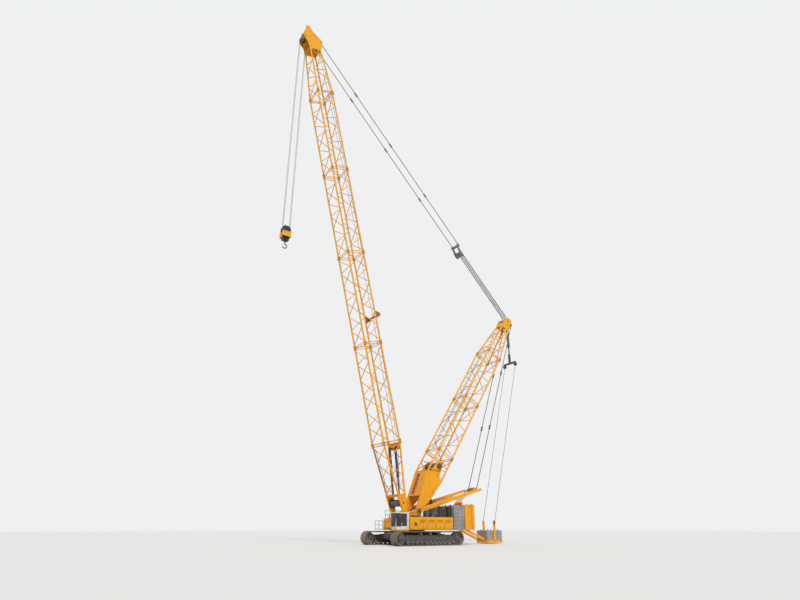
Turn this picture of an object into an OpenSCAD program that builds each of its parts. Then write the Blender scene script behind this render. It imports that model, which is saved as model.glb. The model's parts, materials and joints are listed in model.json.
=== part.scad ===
/*
  Crawler crane with a lattice main boom, a derrick mast and an A-frame, at a scale of 1:2.
  Sizes are in millimetres of the model, twice that on the real machine.
  Frame: +X is the way the boom leans, +Y the side of the cab, +Z up. The origin is on the
  ground, under the slewing axis.
  Order: helpers, undercarriage, superstructure, cab, A-frame, mast, boom, stays, hook.
*/

/* [Undercarriage] */
// Distance between the centre lines of the two tracks
gauge = 3600; // [3200:50:4200]
// Length of a track over its shoes
track_length = 5000; // [4400:50:5600]
// Height of a track over its shoes
track_height = 810; // [700:10:900]
// Width of a track shoe
shoe_width = 750; // [500:10:850]
// Thickness of a track shoe with its link
shoe_depth = 70; // [50:5:90]
// Height of the underside of the carbody
belly_height = 290; // [200:10:380]
// Radius of the slewing ring
ring_radius = 820; // [600:10:900]
// Height of the top of the slewing ring
ring_top = 900; // [880:5:980]

/* [Superstructure] */
// How far the superstructure reaches behind the slewing axis
tail = 4000; // [3700:50:4500]
// Width of the superstructure over its houses
house_width = 3100; // [2900:50:3400]
// Height of the top of the houses
house_top = 1610; // [1500:10:1800]
// Height of the top of the counterweight
ballast_top = 2330; // [2100:10:2600]
// Number of slabs in a counterweight stack
slab_count = 6; // [4:1:8]
// Radius of a rope drum
drum_radius = 260; // [180:5:300]

/* [Cab] */
// Length of the cab
cab_length = 950; // [850:10:1050]
// Width of the cab
cab_width = 560; // [500:10:640]
// Height of the roof of the cab
cab_top = 1860; // [1750:10:2000]
// Thickness of the cab walls
cab_wall = 24; // [16:1:32]
// Thickness of the panes
pane = 6; // [4:1:10]

/* [Derrick mast] */
// Distance of the mast pivot in front of the slewing axis
mast_x = 0; // [-100:5:150]
// Height of the mast pivot
mast_z = 2000; // [1900:10:2150]
// Length of the mast from pivot to tip axle
mast_length = 17600; // [16000:50:18500]
// Angle of the mast above the ground, leaning back
mast_angle = 57; // [52:0.5:64]
// Angle of the A-frame above the ground
a_frame_angle = 15.5; // [13:0.5:24]
// Length of the A-frame from pivot to tip axle
a_frame_length = 5350; // [5000:50:5600]

/* [Main boom] */
// Distance of the boom pivot in front of the slewing axis
boom_x = 900; // [850:5:1050]
// Height of the boom pivot
boom_z = 1700; // [1600:10:1800]
// Length of the boom from pivot to head axle
boom_length = 36000; // [34000:50:36500]
// Angle of the boom above the ground
boom_angle = 76.5; // [70:0.1:80]
// Width of the boom and mast sections over the chord axes
section_width = 1400; // [1200:10:1500]
// Depth of the boom and mast sections over the chord axes
section_depth = 1250; // [1100:10:1400]
// Radius of a chord tube
chord_radius = 58; // [45:1:70]
// Radius of a lacing tube
lacing_radius = 27; // [20:1:34]
// Bays of lacing in a boom insert
bays = 6; // [4:2:8]

/* [Ropes and hook] */
// Radius of a hoist rope
rope_radius = 14; // [10:1:20]
// Radius of a stay rod
stay_radius = 30; // [20:1:40]
// Radius of the sheaves at the heads
sheave_radius = 230; // [180:5:280]
// Length of the hoist ropes from the head axle to the axle of the hook block
drop = 17300; // [14000:50:19000]
// Radius of the free bores for a jib's pins in the boom head
jib_pin_r = 40; // [30:1:50]
// Radius of the bores of the tow eyes
tow_eye_r = 35; // [25:1:45]

/* [Hidden] */
$fn = 48;
eps = 0.3;
run = 0.5;
side_gap = 5;
leg_y = section_width / 2;
leg_half = 60;
lug_plate = 60;
eye = 165;
pin = 70;
deck_bottom = ring_top + 0.3;
deck_top = 1250;
house_front = 1150;
house_rear = -2150;
house_in = 950;
foot_end = 4500;
head_length = 5000;
head_tip = 700;
head_section = [900, 840];
boom_step = (boom_length - head_length - foot_end) / 4;
boom_top = foot_end + 4 * boom_step;
nose = [boom_length + 200, -680];
mast_foot_end = 4300;
mast_plate_end = 2600;
mast_head_length = 3950;
mast_tip = 650;
mast_tip_section = [700, 640];
mast_top = mast_length - mast_head_length;
full = [section_width, section_depth];
ballast_x = -6500;
ballast_y = 600;

/* Helpers */
function mix(a, b, t) = a + (b - a) * t;
function turn(p, a) = [p[0] * cos(a) - p[1] * sin(a), p[0] * sin(a) + p[1] * cos(a)];
function boom_at(p) = [boom_x, boom_z] + turn(p, boom_angle);
function mast_at(p) = [mast_x, mast_z] + turn(p, 180 - mast_angle);
function frame_at(p) = [mast_x, mast_z] + turn(p, 180 - a_frame_angle);
function aim(a, b) = atan2(b[1] - a[1], b[0] - a[0]);

module bar(a, b, r, fn = 8) {
  d = b - a;
  translate(a) rotate([0, acos(d[2] / norm(d)), atan2(d[1], d[0])])
    cylinder(r = r, h = norm(d), $fn = fn);
}
module box(lo, hi) translate(lo) cube(hi - lo);
module across(c, r, y0, y1) translate([c[0], y1, c[1]]) rotate([90, 0, 0]) cylinder(r = r, h = y1 - y0);
module plate(points, y0, y1)
  translate([0, y1, 0]) rotate([90, 0, 0]) linear_extrude(y1 - y0) polygon(points);
module both() {
  children();
  mirror([0, 1, 0]) children();
}
module on_boom() translate([boom_x, 0, boom_z]) rotate([0, -boom_angle, 0]) children();
module on_mast() translate([mast_x, 0, mast_z]) rotate([0, mast_angle - 180, 0]) children();
module on_frame() translate([mast_x, 0, mast_z]) rotate([0, a_frame_angle - 180, 0]) children();
module along(p, a) translate([p[0], 0, p[1]]) rotate([0, -a, 0]) children();

/* A lattice section along X from u0 to u1: chords, end lugs, end posts and zigzag lacing */
function corner(k, s) = [k == 0 || k == 3 ? s[0] / 2 : -s[0] / 2, k < 2 ? s[1] / 2 : -s[1] / 2];
lug = 150;
lug_half = 72;
toe = 50;
weld_gap = 0.5;
function chord_at(k, u, u0, u1, s0, s1) =
  let (c = corner(k, mix(s0, s1, (u - u0) / (u1 - u0)))) [u, c[0], c[1]];
module chords(u0, u1, s0, s1, lug0, lug1, spare) for (k = [0:3]) {
  bar(chord_at(k, u0 + 40 - spare, u0, u1, s0, s1), chord_at(k, u1 - 40 + spare, u0, u1, s0, s1),
    chord_radius + spare, 24);
  for (e = [0:1]) if (e == 0 ? lug0 : lug1) {
    c = chord_at(k, e == 0 ? u0 : u1, u0, u1, s0, s1);
    translate([(e == 0 ? u0 : u1 - lug) - spare, c[1] - lug_half - spare, c[2] - lug_half - spare])
      cube([lug + 2 * spare, 2 * (lug_half + spare), 2 * (lug_half + spare)]);
  }
}
module brace(k0, k1, ua, ub, u0, u1, s0, s1) {
  a = chord_at(k0, ua, u0, u1, s0, s1);
  b = chord_at(k1, ub, u0, u1, s0, s1);
  n = (b - a) / norm(b - a);
  bar(a + n * 30, b - n * 30, lacing_radius);
}
module truss(u0, u1, s0, s1, count, lug0 = true, lug1 = true) {
  pitch = (u1 - u0 - 2 * lug) / count;
  chords(u0, u1, s0, s1, lug0, lug1, 0);
  difference() {
    for (k = [0:3]) {
      for (i = [0:count - 1]) brace(i % 2 == 0 ? k : (k + 1) % 4, i % 2 == 0 ? (k + 1) % 4 : k,
        u0 + lug + i * pitch + toe, u0 + lug + (i + 1) * pitch - toe, u0, u1, s0, s1);
      for (u = [u0 + lug / 2, u1 - lug / 2]) brace(k, (k + 1) % 4, u, u, u0, u1, s0, s1);
    }
    chords(u0, u1, s0, s1, lug0, lug1, weld_gap);
  }
}

/* Undercarriage */
wheel_z = track_height / 2;
wheel_x = track_length / 2 - wheel_z;
wheel_r = wheel_z - shoe_depth;
rollers = 11;
roller_r = 95;
roller_pitch = (2 * wheel_x - 900) / (rollers - 1);
side_half = 170;
shoe_pitch = 160;

module carbody() color("#4a4d50") {
  plate([[-1250, belly_height], [1250, belly_height], [1450, belly_height + 120], [1450, 660],
    [1250, 760], [-1250, 760], [-1450, 660], [-1450, belly_height + 120]], -1000, 1000);
  for (s = [-1, 1]) translate([0, 0, 475]) difference() {
    linear_extrude(70) polygon([[s * 1400, -110], [s * 1560, -110], [s * 1620, -50], [s * 1620, 50], [s * 1560, 110],
      [s * 1400, 110]]);
    translate([s * 1530, 0, -10]) cylinder(r = tow_eye_r, h = 90);
  }
  for (x = [-1150, 1150]) both() box([x - 230, 950, belly_height + 60], [x + 230, gauge / 2 - side_half, 640]);
  translate([0, 0, 700]) cylinder(r = ring_radius - 40, h = 130);
  translate([0, 0, 830]) cylinder(r = ring_radius, h = ring_top - 830);
}
module crawler_frame(y) color("#46494c") {
  difference() {
    union() {
      plate([[-wheel_x + 400, 140], [wheel_x - 400, 140], [wheel_x - 370, 330], [wheel_x - 370, 500],
        [wheel_x - 460, 600], [-wheel_x + 460, 600], [-wheel_x + 370, 500], [-wheel_x + 370, 330]],
        y - side_half, y + side_half);
      for (s = [-1, 1], t = [-1, 1])
        plate([[s * (wheel_x - 460), 290], [s * (wheel_x + 60), 330], [s * (wheel_x + 110), wheel_z],
          [s * (wheel_x + 60), 480], [s * (wheel_x - 460), 520]],
          y + t * 150 - 20, y + t * 150 + 20);
      for (x = [-700, 0, 700])
        box([x - 60, y - side_half, 560], [x + 60, y + side_half, track_height - shoe_depth - 60]);
    }
    for (s = [-1, 1]) across([s * wheel_x, wheel_z], 60 + run, y - 200, y + 200);
  }
}
module crawler_frames() {
  crawler_frame(gauge / 2);
  crawler_frame(-gauge / 2);
}
/* Outline of a track: straight runs and round ends, with a grouser on every shoe */
module track(y) color("#3b3834") {
  flat = floor(2 * wheel_x / shoe_pitch);
  round_count = floor(180 * wheel_z * PI / 180 / shoe_pitch);
  difference() {
    union() {
      translate([0, y + shoe_width / 2, wheel_z]) rotate([90, 0, 0]) linear_extrude(shoe_width) {
        square([2 * wheel_x, 2 * (wheel_z - 22)], center = true);
        for (s = [-1, 1]) translate([s * wheel_x, 0]) circle(r = wheel_z - 22, $fn = 96);
      }
      for (i = [0:flat - 1], z = [0, track_height - 60])
        box([-wheel_x + (i + 0.5) * 2 * wheel_x / flat - 18, y - shoe_width / 2, z],
          [-wheel_x + (i + 0.5) * 2 * wheel_x / flat + 18, y + shoe_width / 2, z + 60]);
      for (s = [-1, 1], i = [0:round_count - 1])
        translate([s * wheel_x, y, wheel_z]) rotate([0, (i + 0.5) * 180 / round_count - 90, 0])
          translate([s > 0 ? wheel_z - 60 : -wheel_z, -shoe_width / 2, -18]) cube([60, shoe_width, 36]);
    }
    translate([0, y + shoe_width, wheel_z]) rotate([90, 0, 0]) linear_extrude(2 * shoe_width) {
      square([2 * wheel_x, 2 * wheel_r], center = true);
      for (s = [-1, 1]) translate([s * wheel_x, 0]) circle(r = wheel_r, $fn = 96);
    }
  }
}
module track_left() track(gauge / 2);
module track_right() track(-gauge / 2);
/* Sprocket, idler and rollers of one side, each with its axle between the frame plates */
module wheel_row(y) color("#5a554c") {
  for (s = [-1, 1]) {
    across([s * wheel_x, wheel_z], 60, y - side_half - 20, y + side_half + 20);
    difference() {
      across([s * wheel_x, wheel_z], wheel_r - eps, y - 125, y + 125);
      if (s < 0) for (i = [0:15]) translate([s * wheel_x, y + 200, wheel_z]) rotate([90, i * 360 / 16, 0])
        translate([wheel_r, 0, 0]) cylinder(r = 24, h = 400, $fn = 24);
    }
  }
  for (i = [0:rollers - 1], t = [-1, 1])
    across([-wheel_x + 450 + i * roller_pitch, shoe_depth + roller_r + eps], roller_r,
      y + t * 230 - 60, y + t * 230 + 60);
  for (x = [-700, 0, 700], t = [-1, 1])
    across([x, track_height - shoe_depth - 70 - eps], 70, y + t * 230 - 60, y + t * 230 + 60);
}
module track_wheels() {
  wheel_row(gauge / 2);
  wheel_row(-gauge / 2);
}

/* Superstructure */
ballast_front = house_rear - 70;
ballast_rear = -3080;
ballast_seat = 866;
slab = (ballast_top - ballast_seat) / slab_count;
frame_rear = -tail + 60;
post_top = ballast_top + 70;
drum_x = -1880;
drum_z = deck_top + 330;
module pivot_plate(y0, y1) plate([[-700, deck_top - 100], [1250, deck_top - 100], [1180, deck_top + 60],
  [boom_x + 150, boom_z + 40], [boom_x, boom_z + 175], [boom_x - 150, boom_z + 110],
  [mast_x + 190, mast_z + 20], [mast_x, mast_z + 175], [mast_x - 190, mast_z + 20],
  [-250, deck_top + 60]], y0, y1);
module slewing_frame() color("#d9a520") {
  translate([0, 0, deck_bottom]) cylinder(r = ring_radius, h = 90);
  plate([[frame_rear + 150, deck_bottom + 60], [-900, deck_bottom + 5], [1250, deck_bottom + 5],
    [1450, deck_bottom + 120], [1450, deck_top], [frame_rear + 150, deck_top]], -760, 760);
  both() {
    pivot_plate(leg_y - leg_half - side_gap - lug_plate, leg_y - leg_half - side_gap);
    pivot_plate(leg_y + leg_half + side_gap, leg_y + leg_half + side_gap + lug_plate);
    across([boom_x, boom_z], pin, leg_y - leg_half - side_gap - 10, leg_y + leg_half + side_gap + 10);
    across([mast_x, mast_z], pin, leg_y - leg_half - side_gap - 10, frame_y + frame_half + 10);
    for (x = [1080, 100, -1000, -2050]) box([x - 70, 750, 900], [x + 70, house_in - 0.3, 990]);
    plate([[drum_x - 230, deck_top - 20], [drum_x + 230, deck_top - 20],
      [drum_x + 110, drum_z + 110], [drum_x - 110, drum_z + 110]], 505, 535);
    for (y = [strut_y - 100, strut_y + 60]) plate([[strut_foot[0] - 160, deck_top - 10],
      [strut_foot[0] + 160, deck_top - 10], [strut_foot[0] + 60, strut_foot[1] + 90],
      [strut_foot[0] - 60, strut_foot[1] + 90]], y, y + 40);
    across(strut_foot, 40, strut_y - 105, strut_y + 105);
  }
  box([1180, 740, 830], [2060, cab_y + 550, 894]);
  box([1180, 740, 830], [1420, cab_y - 30, 1180]);
  across([drum_x, drum_z], 60, -520, 520);
}
module house(side, top) {
  y0 = side > 0 ? house_in : -house_width / 2;
  y1 = side > 0 ? house_width / 2 : -house_in;
  skin = side > 0 ? y1 : y0;
  difference() {
    plate([[house_rear, 870], [house_front, 870], [house_front, top - 60], [house_front - 60, top],
      [house_rear, top]], y0, y1);
    for (x = [house_rear + 550, house_rear + 1150, house_rear + 1750, house_rear + 2350])
      box([x - 5, skin - 8, 920], [x + 5, skin + 8, top - 40]);
    for (x = [house_rear + 160, house_rear + 760, house_rear + 1360], i = [0:6])
      box([x, skin - 20, 1000 + i * 56], [x + 280, skin + 20, 1022 + i * 56]);
    if (side > 0) across([house_front - 380, 1230], 110, skin - 40, skin + 10);
    box([house_rear + 60, skin - 30, 880], [house_front - 60, skin + 30, 905]);
  }
}
module houses() color("#e0ad24") {
  house(1, house_top);
  house(-1, house_top - 60);
}
module exhaust_stacks() color("#26282a") {
  for (y = [house_width / 2 - 430]) {
    box([-1650, y, house_top], [-1220, y + 300, 2130]);
    box([-1600, y + 50, 2130], [-1270, y + 250, 2250]);
    box([-2140, y + 20, house_top], [-1890, y + 260, 2240]);
    translate([-1760, y + 160, house_top]) cylinder(r = 52, h = 640);
    bar([-1760, y + 160, 2240], [-1800, y + 160, 2330], 50, 24);
  }
  box([300, house_width / 2 - 470, house_top], [760, house_width / 2 - 130, house_top + 90]);
}
rail_r = 13;
module rail_run(x0, x1, y, z, count) {
  for (i = [0:count]) translate([x0 + i * (x1 - x0) / count, y, z]) cylinder(r = rail_r, h = 480, $fn = 12);
  for (h = [240, 480]) translate([x0 - 10, y - 11, z + h - 11]) cube([x1 - x0 + 20, 22, 22]);
}
module walkways() color("#33373a") {
  rail_run(-1050, 1050, house_width / 2 - 60, house_top, 4);
  rail_run(house_rear + 100, 1050, -house_width / 2 + 60, house_top - 60, 6);
  step = house_width / 2 - 70;
  box([house_front + 100, -step, 900], [house_front + 700, -780, 930]);
  box([house_front + 0.2, -step, 905], [house_front + 110, 100 - step, 925]);
  rail_run(house_front + 130, house_front + 670, 30 - step, 930, 2);
}
module luffing_drum() color("#54585c") {
  difference() {
    union() {
      across([drum_x, drum_z], drum_radius - 60, -470, 470);
      for (y = [-495, 465]) across([drum_x, drum_z], drum_radius, y, y + 30);
    }
    across([drum_x, drum_z], 60 + run, -600, 600);
  }
}
/* The stacks stand outboard of the A-frame, which comes down between them */
module counterweight() color("#8f9291") {
  inner = frame_y + frame_half + 15;
  both() for (i = [0:slab_count - 1]) {
    z = ballast_seat + i * slab;
    box([ballast_rear, inner, z], [ballast_front, house_width / 2, z + slab - 10]);
    box([ballast_rear + 20, inner + 20, z + slab - 10], [ballast_front - 20, house_width / 2 - 20, z + slab]);
    for (x = [ballast_rear + 160, ballast_front - 160])
      box([x - 40, house_width / 2 - 5, z + 90], [x + 40, house_width / 2 + 45, z + 140]);
  }
  tray_slabs();
}
module rear_frame() color("#dd9c22") {
  both() {
    box([frame_rear + 460, 780, ballast_seat], [frame_rear + 810, house_width / 2, ballast_top + 40]);
    box([frame_rear + 220, 820, ballast_seat], [frame_rear + 460, house_width / 2 - 60, ballast_top - 30]);
    box([frame_rear, 780, ballast_seat], [frame_rear + 220, house_width / 2, post_top]);
    box([frame_rear + 800, 790, 1000], [ballast_rear, 1000, 1100]);
    box([frame_rear + 40, 760.3, 950], [ballast_rear - 120, 790, 1200]);
  }
  box([frame_rear, -790, post_top - 220], [frame_rear + 200, 790, post_top]);
  for (y = [-330, -110, 110, 330]) plate([[frame_rear + 10, post_top - 10], [frame_rear + 180, post_top - 10],
    [frame_rear + 90, post_top + 190], [frame_rear - 10, post_top + 190]], y - 12, y + 12);
  across(rear, 30, -345, 345);
  for (y = [-220, 0, 220]) across(rear, rear_r, y - 90, y + 90);
  tray_frame();
}

/* Cab */
cab_x = 1195;
cab_y = house_width / 2 - 620;
cab_z = 894;
cab_front = cab_x + cab_length;
cab_left = cab_y + cab_width;
cab_floor = cab_z + 36;
door_x0 = cab_x + 95;
door_x1 = door_x0 + 470;
door_z0 = cab_z + 31;
door_z1 = cab_top - 60;
gap = 5;
hinge = [door_x0 - 7, cab_left + 14];
sill = cab_z + 190;
head = cab_top - 75;
function screen_x(z) = cab_front - (z - cab_z - 156) * 35 / (cab_top - cab_z - 156);
module cab_profile(t) polygon([[cab_x + t, cab_z + 1.5 * t], [cab_front - 95 - 0.6 * t, cab_z + 1.5 * t],
  [cab_front - t, cab_z + 156], [cab_front - 35 - t, cab_top - 1.25 * t], [cab_x + t, cab_top - 1.25 * t]]);
module cab_prism(t) translate([0, cab_left - t, 0]) rotate([90, 0, 0])
  linear_extrude(cab_width - 2 * t) cab_profile(t);
module cab_shell() color("#e4e5e0") {
  difference() {
    cab_prism(0);
    cab_prism(cab_wall);
    box([cab_front - 130, cab_y + 50, sill], [cab_front + 50, cab_left - 50, head]);
    box([door_x0, cab_left - cab_wall - 5, door_z0], [door_x1, cab_left + 5, door_z1]);
    box([door_x1 + 45, cab_left - cab_wall - 5, sill], [cab_front - 80, cab_left + 5, head]);
    box([door_x0, cab_y - 5, sill + 60], [cab_front - 80, cab_y + cab_wall + 5, head]);
    box([cab_x - 5, cab_y + 70, sill + 160], [cab_x + cab_wall + 5, cab_left - 70, head]);
    box([door_x0 + 150, cab_y + 80, cab_top - 60], [cab_front - 180, cab_left - 80, cab_top + 5]);
  }
  for (z = [cab_z + 110, cab_z + 470, cab_z + 770])
    box([hinge[0] - 13, cab_left - 2, z], [hinge[0] + 7, cab_left + 26, z + 36]);
  translate([hinge[0], hinge[1], cab_z + 110]) cylinder(r = 6, h = 690);
  box([cab_front - 60, cab_left - 60, cab_top - 2], [cab_front - 10, cab_left - 20, cab_top + 40]);
  box([cab_front - 60, cab_y + 20, cab_top - 2], [cab_front - 10, cab_y + 60, cab_top + 40]);
}
module cab_glass() color("#20303a") {
  plate([[screen_x(sill) - 10 - pane, sill], [screen_x(sill) - 10, sill], [screen_x(head) - 10, head],
    [screen_x(head) - 10 - pane, head]], cab_y + 50, cab_left - 50);
  box([door_x1 + 45, cab_left - 15 - pane, sill], [cab_front - 80, cab_left - 15, head]);
  box([door_x0, cab_y + 15, sill + 60], [cab_front - 80, cab_y + 15 + pane, head]);
  box([cab_x + 9, cab_y + 70, sill + 160], [cab_x + 9 + pane, cab_left - 70, head]);
  box([door_x0 + 150, cab_y + 80, cab_top - 9 - pane], [cab_front - 180, cab_left - 80, cab_top - 9]);
}
seat_x = cab_x + 330;
seat_y = cab_y + cab_width / 2;
module cab_interior() color("#2b2d30") {
  box([seat_x - 120, seat_y - 110, cab_floor], [seat_x + 130, seat_y + 110, cab_floor + 150]);
  box([seat_x - 140, seat_y - 125, cab_floor + 150], [seat_x + 150, seat_y + 125, cab_floor + 225]);
  plate([[seat_x - 140, cab_floor + 200], [seat_x - 60, cab_floor + 200], [seat_x - 110, cab_floor + 560],
    [seat_x - 170, cab_floor + 560]], seat_y - 115, seat_y + 115);
  for (t = [-1, 1]) {
    box([seat_x - 60, seat_y + t * 175 - 35, cab_floor], [seat_x + 160, seat_y + t * 175 + 35, cab_floor + 300]);
    bar([seat_x + 120, seat_y + t * 175, cab_floor + 290], [seat_x + 130, seat_y + t * 175, cab_floor + 400], 10, 24);
  }
  box([cab_front - 170, cab_y + 60, cab_floor], [cab_front - 130, cab_y + 90, cab_floor + 420]);
  box([cab_front - 190, cab_y + 45, cab_floor + 400], [cab_front - 160, cab_y + 210, cab_floor + 530]);
  plate([[cab_front - 260, cab_floor], [cab_front - 150, cab_floor], [cab_front - 150, cab_floor + 60]],
    seat_y - 110, seat_y + 110);
}
module cab_door() color("#e4e5e0") {
  difference() {
    union() {
      box([door_x0 + gap, cab_left - cab_wall, door_z0 + gap], [door_x1 - gap, cab_left, door_z1 - gap]);
      for (z = [cab_z + 151, cab_z + 511]) {
        translate([hinge[0], hinge[1], z]) cylinder(r = 13, h = 250);
        box([hinge[0] + 9, cab_left - 1, z], [door_x0 + 40, cab_left + 9, z + 250]);
      }
      box([door_x1 - 60, cab_left - 1, sill + 60], [door_x1 - 40, cab_left + 30, sill + 200]);
    }
    translate([hinge[0], hinge[1], cab_z]) cylinder(r = 6 + run, h = 900);
    box([door_x0 + 55, cab_left - 50, sill + 40], [door_x1 - 75, cab_left + 50, head - 20]);
  }
}
module door_glass() color("#20303a")
  box([door_x0 + 55, cab_left - 15 - pane, sill + 40], [door_x1 - 75, cab_left - 15, head - 20]);

/* A-frame */
frame_half = 40;
frame_y = leg_y + leg_half + side_gap + lug_plate + 15 + frame_half;
tip_shaft = 45;
tip_r = 160;
module a_frame() color("#d9a520") on_frame() {
  both() {
    difference() {
      union() {
        across([0, 0], 150, frame_y - frame_half, frame_y + frame_half);
        plate([[0, -130], [1500, -125], [a_frame_length + 60, -80], [a_frame_length + 60, 80],
          [1500, 125], [0, 130]], frame_y - frame_half, frame_y + frame_half);
      }
      across([0, 0], pin + run, frame_y - 50, frame_y + 50);
    }
    bar([1800, frame_y, 0], [3300, 30, 0], 45);
  }
  for (u = [1800, 3300]) across([u, 0], 65, -frame_y, frame_y);
  across([a_frame_length, 0], tip_shaft, -frame_y, frame_y);
  for (y = [-330, -110, 110, 330]) box([a_frame_length - 180, y - 12, -60], [a_frame_length + 60, y + 12, 60]);
  for (y = [-220, 0, 220]) across([a_frame_length, 0], tip_r, y - 90, y + 90);
}
tip = frame_at([a_frame_length, 0]);
rear_r = 95;
luff_short = 50;
rear = [frame_rear + 40, post_top + 140];
fall_r = 14;
luff_a = aim(tip, rear) - asin((tip_r - rear_r) / norm(rear - tip));
luff_start = tip + turn([0, tip_r + fall_r + eps], luff_a);
luff_len = sqrt(pow(norm(rear - tip), 2) - pow(tip_r - rear_r, 2));
module luff_rope(ys) along(luff_start, luff_a) for (y = ys) bar([0, y, 0], [luff_len - luff_short, y, 0], fall_r, 24);
module luffing_falls() color("#8d9196") luff_rope([-260, -180, -40, 40, 180, 260]);

/* Struts that stop the mast from behind */
strut_foot = [-1250, 1430];
strut_pin = [1900, 380];
strut_eye = mast_at(strut_pin);
strut_a = aim(strut_foot, strut_eye);
strut_len = norm(strut_eye - strut_foot);
strut_y = 350;
strut_play = 5;
module mast_strut_tubes() color("#2c2f33") both() along(strut_foot, strut_a) {
  difference() {
    union() {
      across([0, 0], 100, strut_y - 50, strut_y + 50);
      box([60, strut_y - 50, -70], [150, strut_y + 50, 70]);
      bar([130, strut_y, 0], [1250, strut_y, 0], 92, 48);
    }
    across([0, 0], 40 + run, strut_y - 60, strut_y + 60);
    bar([160, strut_y, 0], [1260, strut_y, 0], 50 + run, 48);
  }
}
module mast_strut_rods() color("#a9adb0") both() along(strut_foot, strut_a) {
  difference() {
    union() {
      bar([500, strut_y, 0], [strut_len - 50, strut_y, 0], 50, 48);
      across([strut_len, 0], 80, strut_y - 45, strut_y + 45);
    }
    across([strut_len, 0], 40 + strut_play, strut_y - 60, strut_y + 60);
  }
}

/* Derrick mast */
mast_drum_u = 3350;
module mast_foot() color("#e0ad24") on_mast() {
  both() difference() {
    union() {
      across([0, 0], eye, leg_y - leg_half, leg_y + leg_half);
      plate([[0, -150], [mast_plate_end, -section_depth / 2 - 40], [mast_plate_end, section_depth / 2 + 40],
        [1200, 480], [0, 150]], leg_y - leg_half, leg_y + leg_half);
      plate([[mast_plate_end - 20, -420], [mast_drum_u + 350, -200], [mast_drum_u + 350, 200],
        [mast_plate_end - 20, 420]], leg_y - 110, leg_y - 55);
    }
    across([0, 0], pin + run, 0, 2000);
    across([mast_drum_u, 0], 60 + run, 0, 2000);
  }
  plate([[900, -310], [mast_plate_end, -630], [mast_plate_end, -600], [900, -280]], -leg_y + 55, leg_y - 55);
  plate([[2150, 595], [mast_plate_end, 650], [mast_plate_end, 620], [2150, 565]], -leg_y + 55, leg_y - 55);
  truss(mast_plate_end - 80, mast_foot_end, full, full, 2, false, true);
  across(strut_pin, 40, -leg_y + 40, leg_y - 40);
}
mast_mid = (mast_foot_end + mast_top) / 2;
module mast_insert_1() color("#d9a520") on_mast() truss(mast_foot_end, mast_mid, full, full, 4);
module mast_insert_2() color("#d9a520") on_mast() truss(mast_mid, mast_top, full, full, 4);
module mast_head() color("#e0ad24") on_mast() {
  truss(mast_top, mast_length - mast_tip, full, mast_tip_section, 4, true, false);
  both() plate([[mast_length - 800, -370], [mast_length - 150, -420], [mast_length + 250, -220],
    [mast_length + 300, 100], [mast_length - 50, 440], [mast_length - 250, 440], [mast_length - 800, 370]],
    320, 385);
  plate([[mast_length - 790, 360], [mast_length - 620, 377], [mast_length - 620, 347], [mast_length - 790, 330]],
    -325, 325);
  plate([[mast_length - 790, -360], [mast_length - 450, -380], [mast_length - 450, -350], [mast_length - 790, -330]],
    -325, 325);
  across([mast_length, -100], 50, -390, 390);
  both() across([mast_length - 150, 340], 40, 380, 500);
  across([mast_length - 120, 250], 40, -330, 330);
}
module mast_sheaves() color("#3a3d40") on_mast() difference() {
  union() {
    across([mast_length, -100], 110, -312, 312);
    for (y = [-240, -144, -48, 48, 144, 240]) across([mast_length, -100], 250, y - 40, y + 40);
  }
  across([mast_length, -100], 50 + run, -400, 400);
}
module mast_drum() color("#4a4d50") on_mast() {
  across([mast_drum_u, 0], 60, -leg_y, leg_y);
  across([mast_drum_u, 0], 190, -leg_y + 140, leg_y - 140);
  both() {
    across([mast_drum_u, 0], 290, leg_y - 155, leg_y - 125);
    across([mast_drum_u, 0], 170, leg_y - 50, leg_y + 70);
  }
}
stay_a = mast_at([mast_length - 150, 340]);
module mast_stays() color("#6c7074") both() {
  difference() {
    union() {
      bar([stay_a[0], 440, stay_a[1]], [tip[0], 440, tip[1]], stay_radius, 24);
      across(stay_a, 85, 415, 465);
      across(tip, 85, 415, 465);
      for (t = [0.33, 0.66]) {
        p = mix(stay_a, tip, t);
        along(p, aim(stay_a, tip)) box([-170, 400, -55], [170, 480, 55]);
      }
    }
    across(stay_a, 40 + run, 380, 520);
    across(tip, tip_shaft + run, 380, 520);
  }
}
line_top = mast_at([mast_length - 120, 250]);
tray_lug = [ballast_x, 1300];
module ballast_lines() color("#2c2f33") {
  difference() {
    union() {
      across(line_top, 95, -60, 60);
      box([line_top[0] - 90, -55, line_top[1] - 1900], [line_top[0] + 90, 55, line_top[1] - 60]);
    }
    across(line_top, 40 + run, -100, 100);
  }
  box([line_top[0] - 35, -35, line_top[1] - 2500], [line_top[0] + 35, 35, line_top[1] - 1890]);
  box([line_top[0] - 80, -60, line_top[1] - 3200], [line_top[0] + 80, 60, line_top[1] - 2490]);
  box([line_top[0] - 60, -ballast_y - 60, line_top[1] - 3320], [line_top[0] + 60, ballast_y + 60, line_top[1] - 3190]);
  both() {
    translate([line_top[0], ballast_y, line_top[1] - 3420]) sphere(r = 150);
    bar([line_top[0], ballast_y, line_top[1] - 3450], [tray_lug[0], ballast_y, tray_lug[1]], rope_radius, 24);
    box([tray_lug[0] - 45, ballast_y - 29.7, tray_lug[1] - 60], [tray_lug[0] + 45, ballast_y + 30, tray_lug[1] + 120]);
  }
}
module tray_frame() {
  box([ballast_x - 700, -540, 50], [ballast_x + 700, 540, 200]);
  both() {
    box([ballast_x - 90, 530, 120], [ballast_x + 90, 570, tray_lug[1] + 160]);
    plate([[frame_rear + 10, 900], [frame_rear + 10, 1040], [ballast_x + 690, 300], [ballast_x + 690, 160]], 300, 400);
    box([frame_rear - 5, 290, 880], [frame_rear + 10, 800, 1050]);
  }
}
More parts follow.
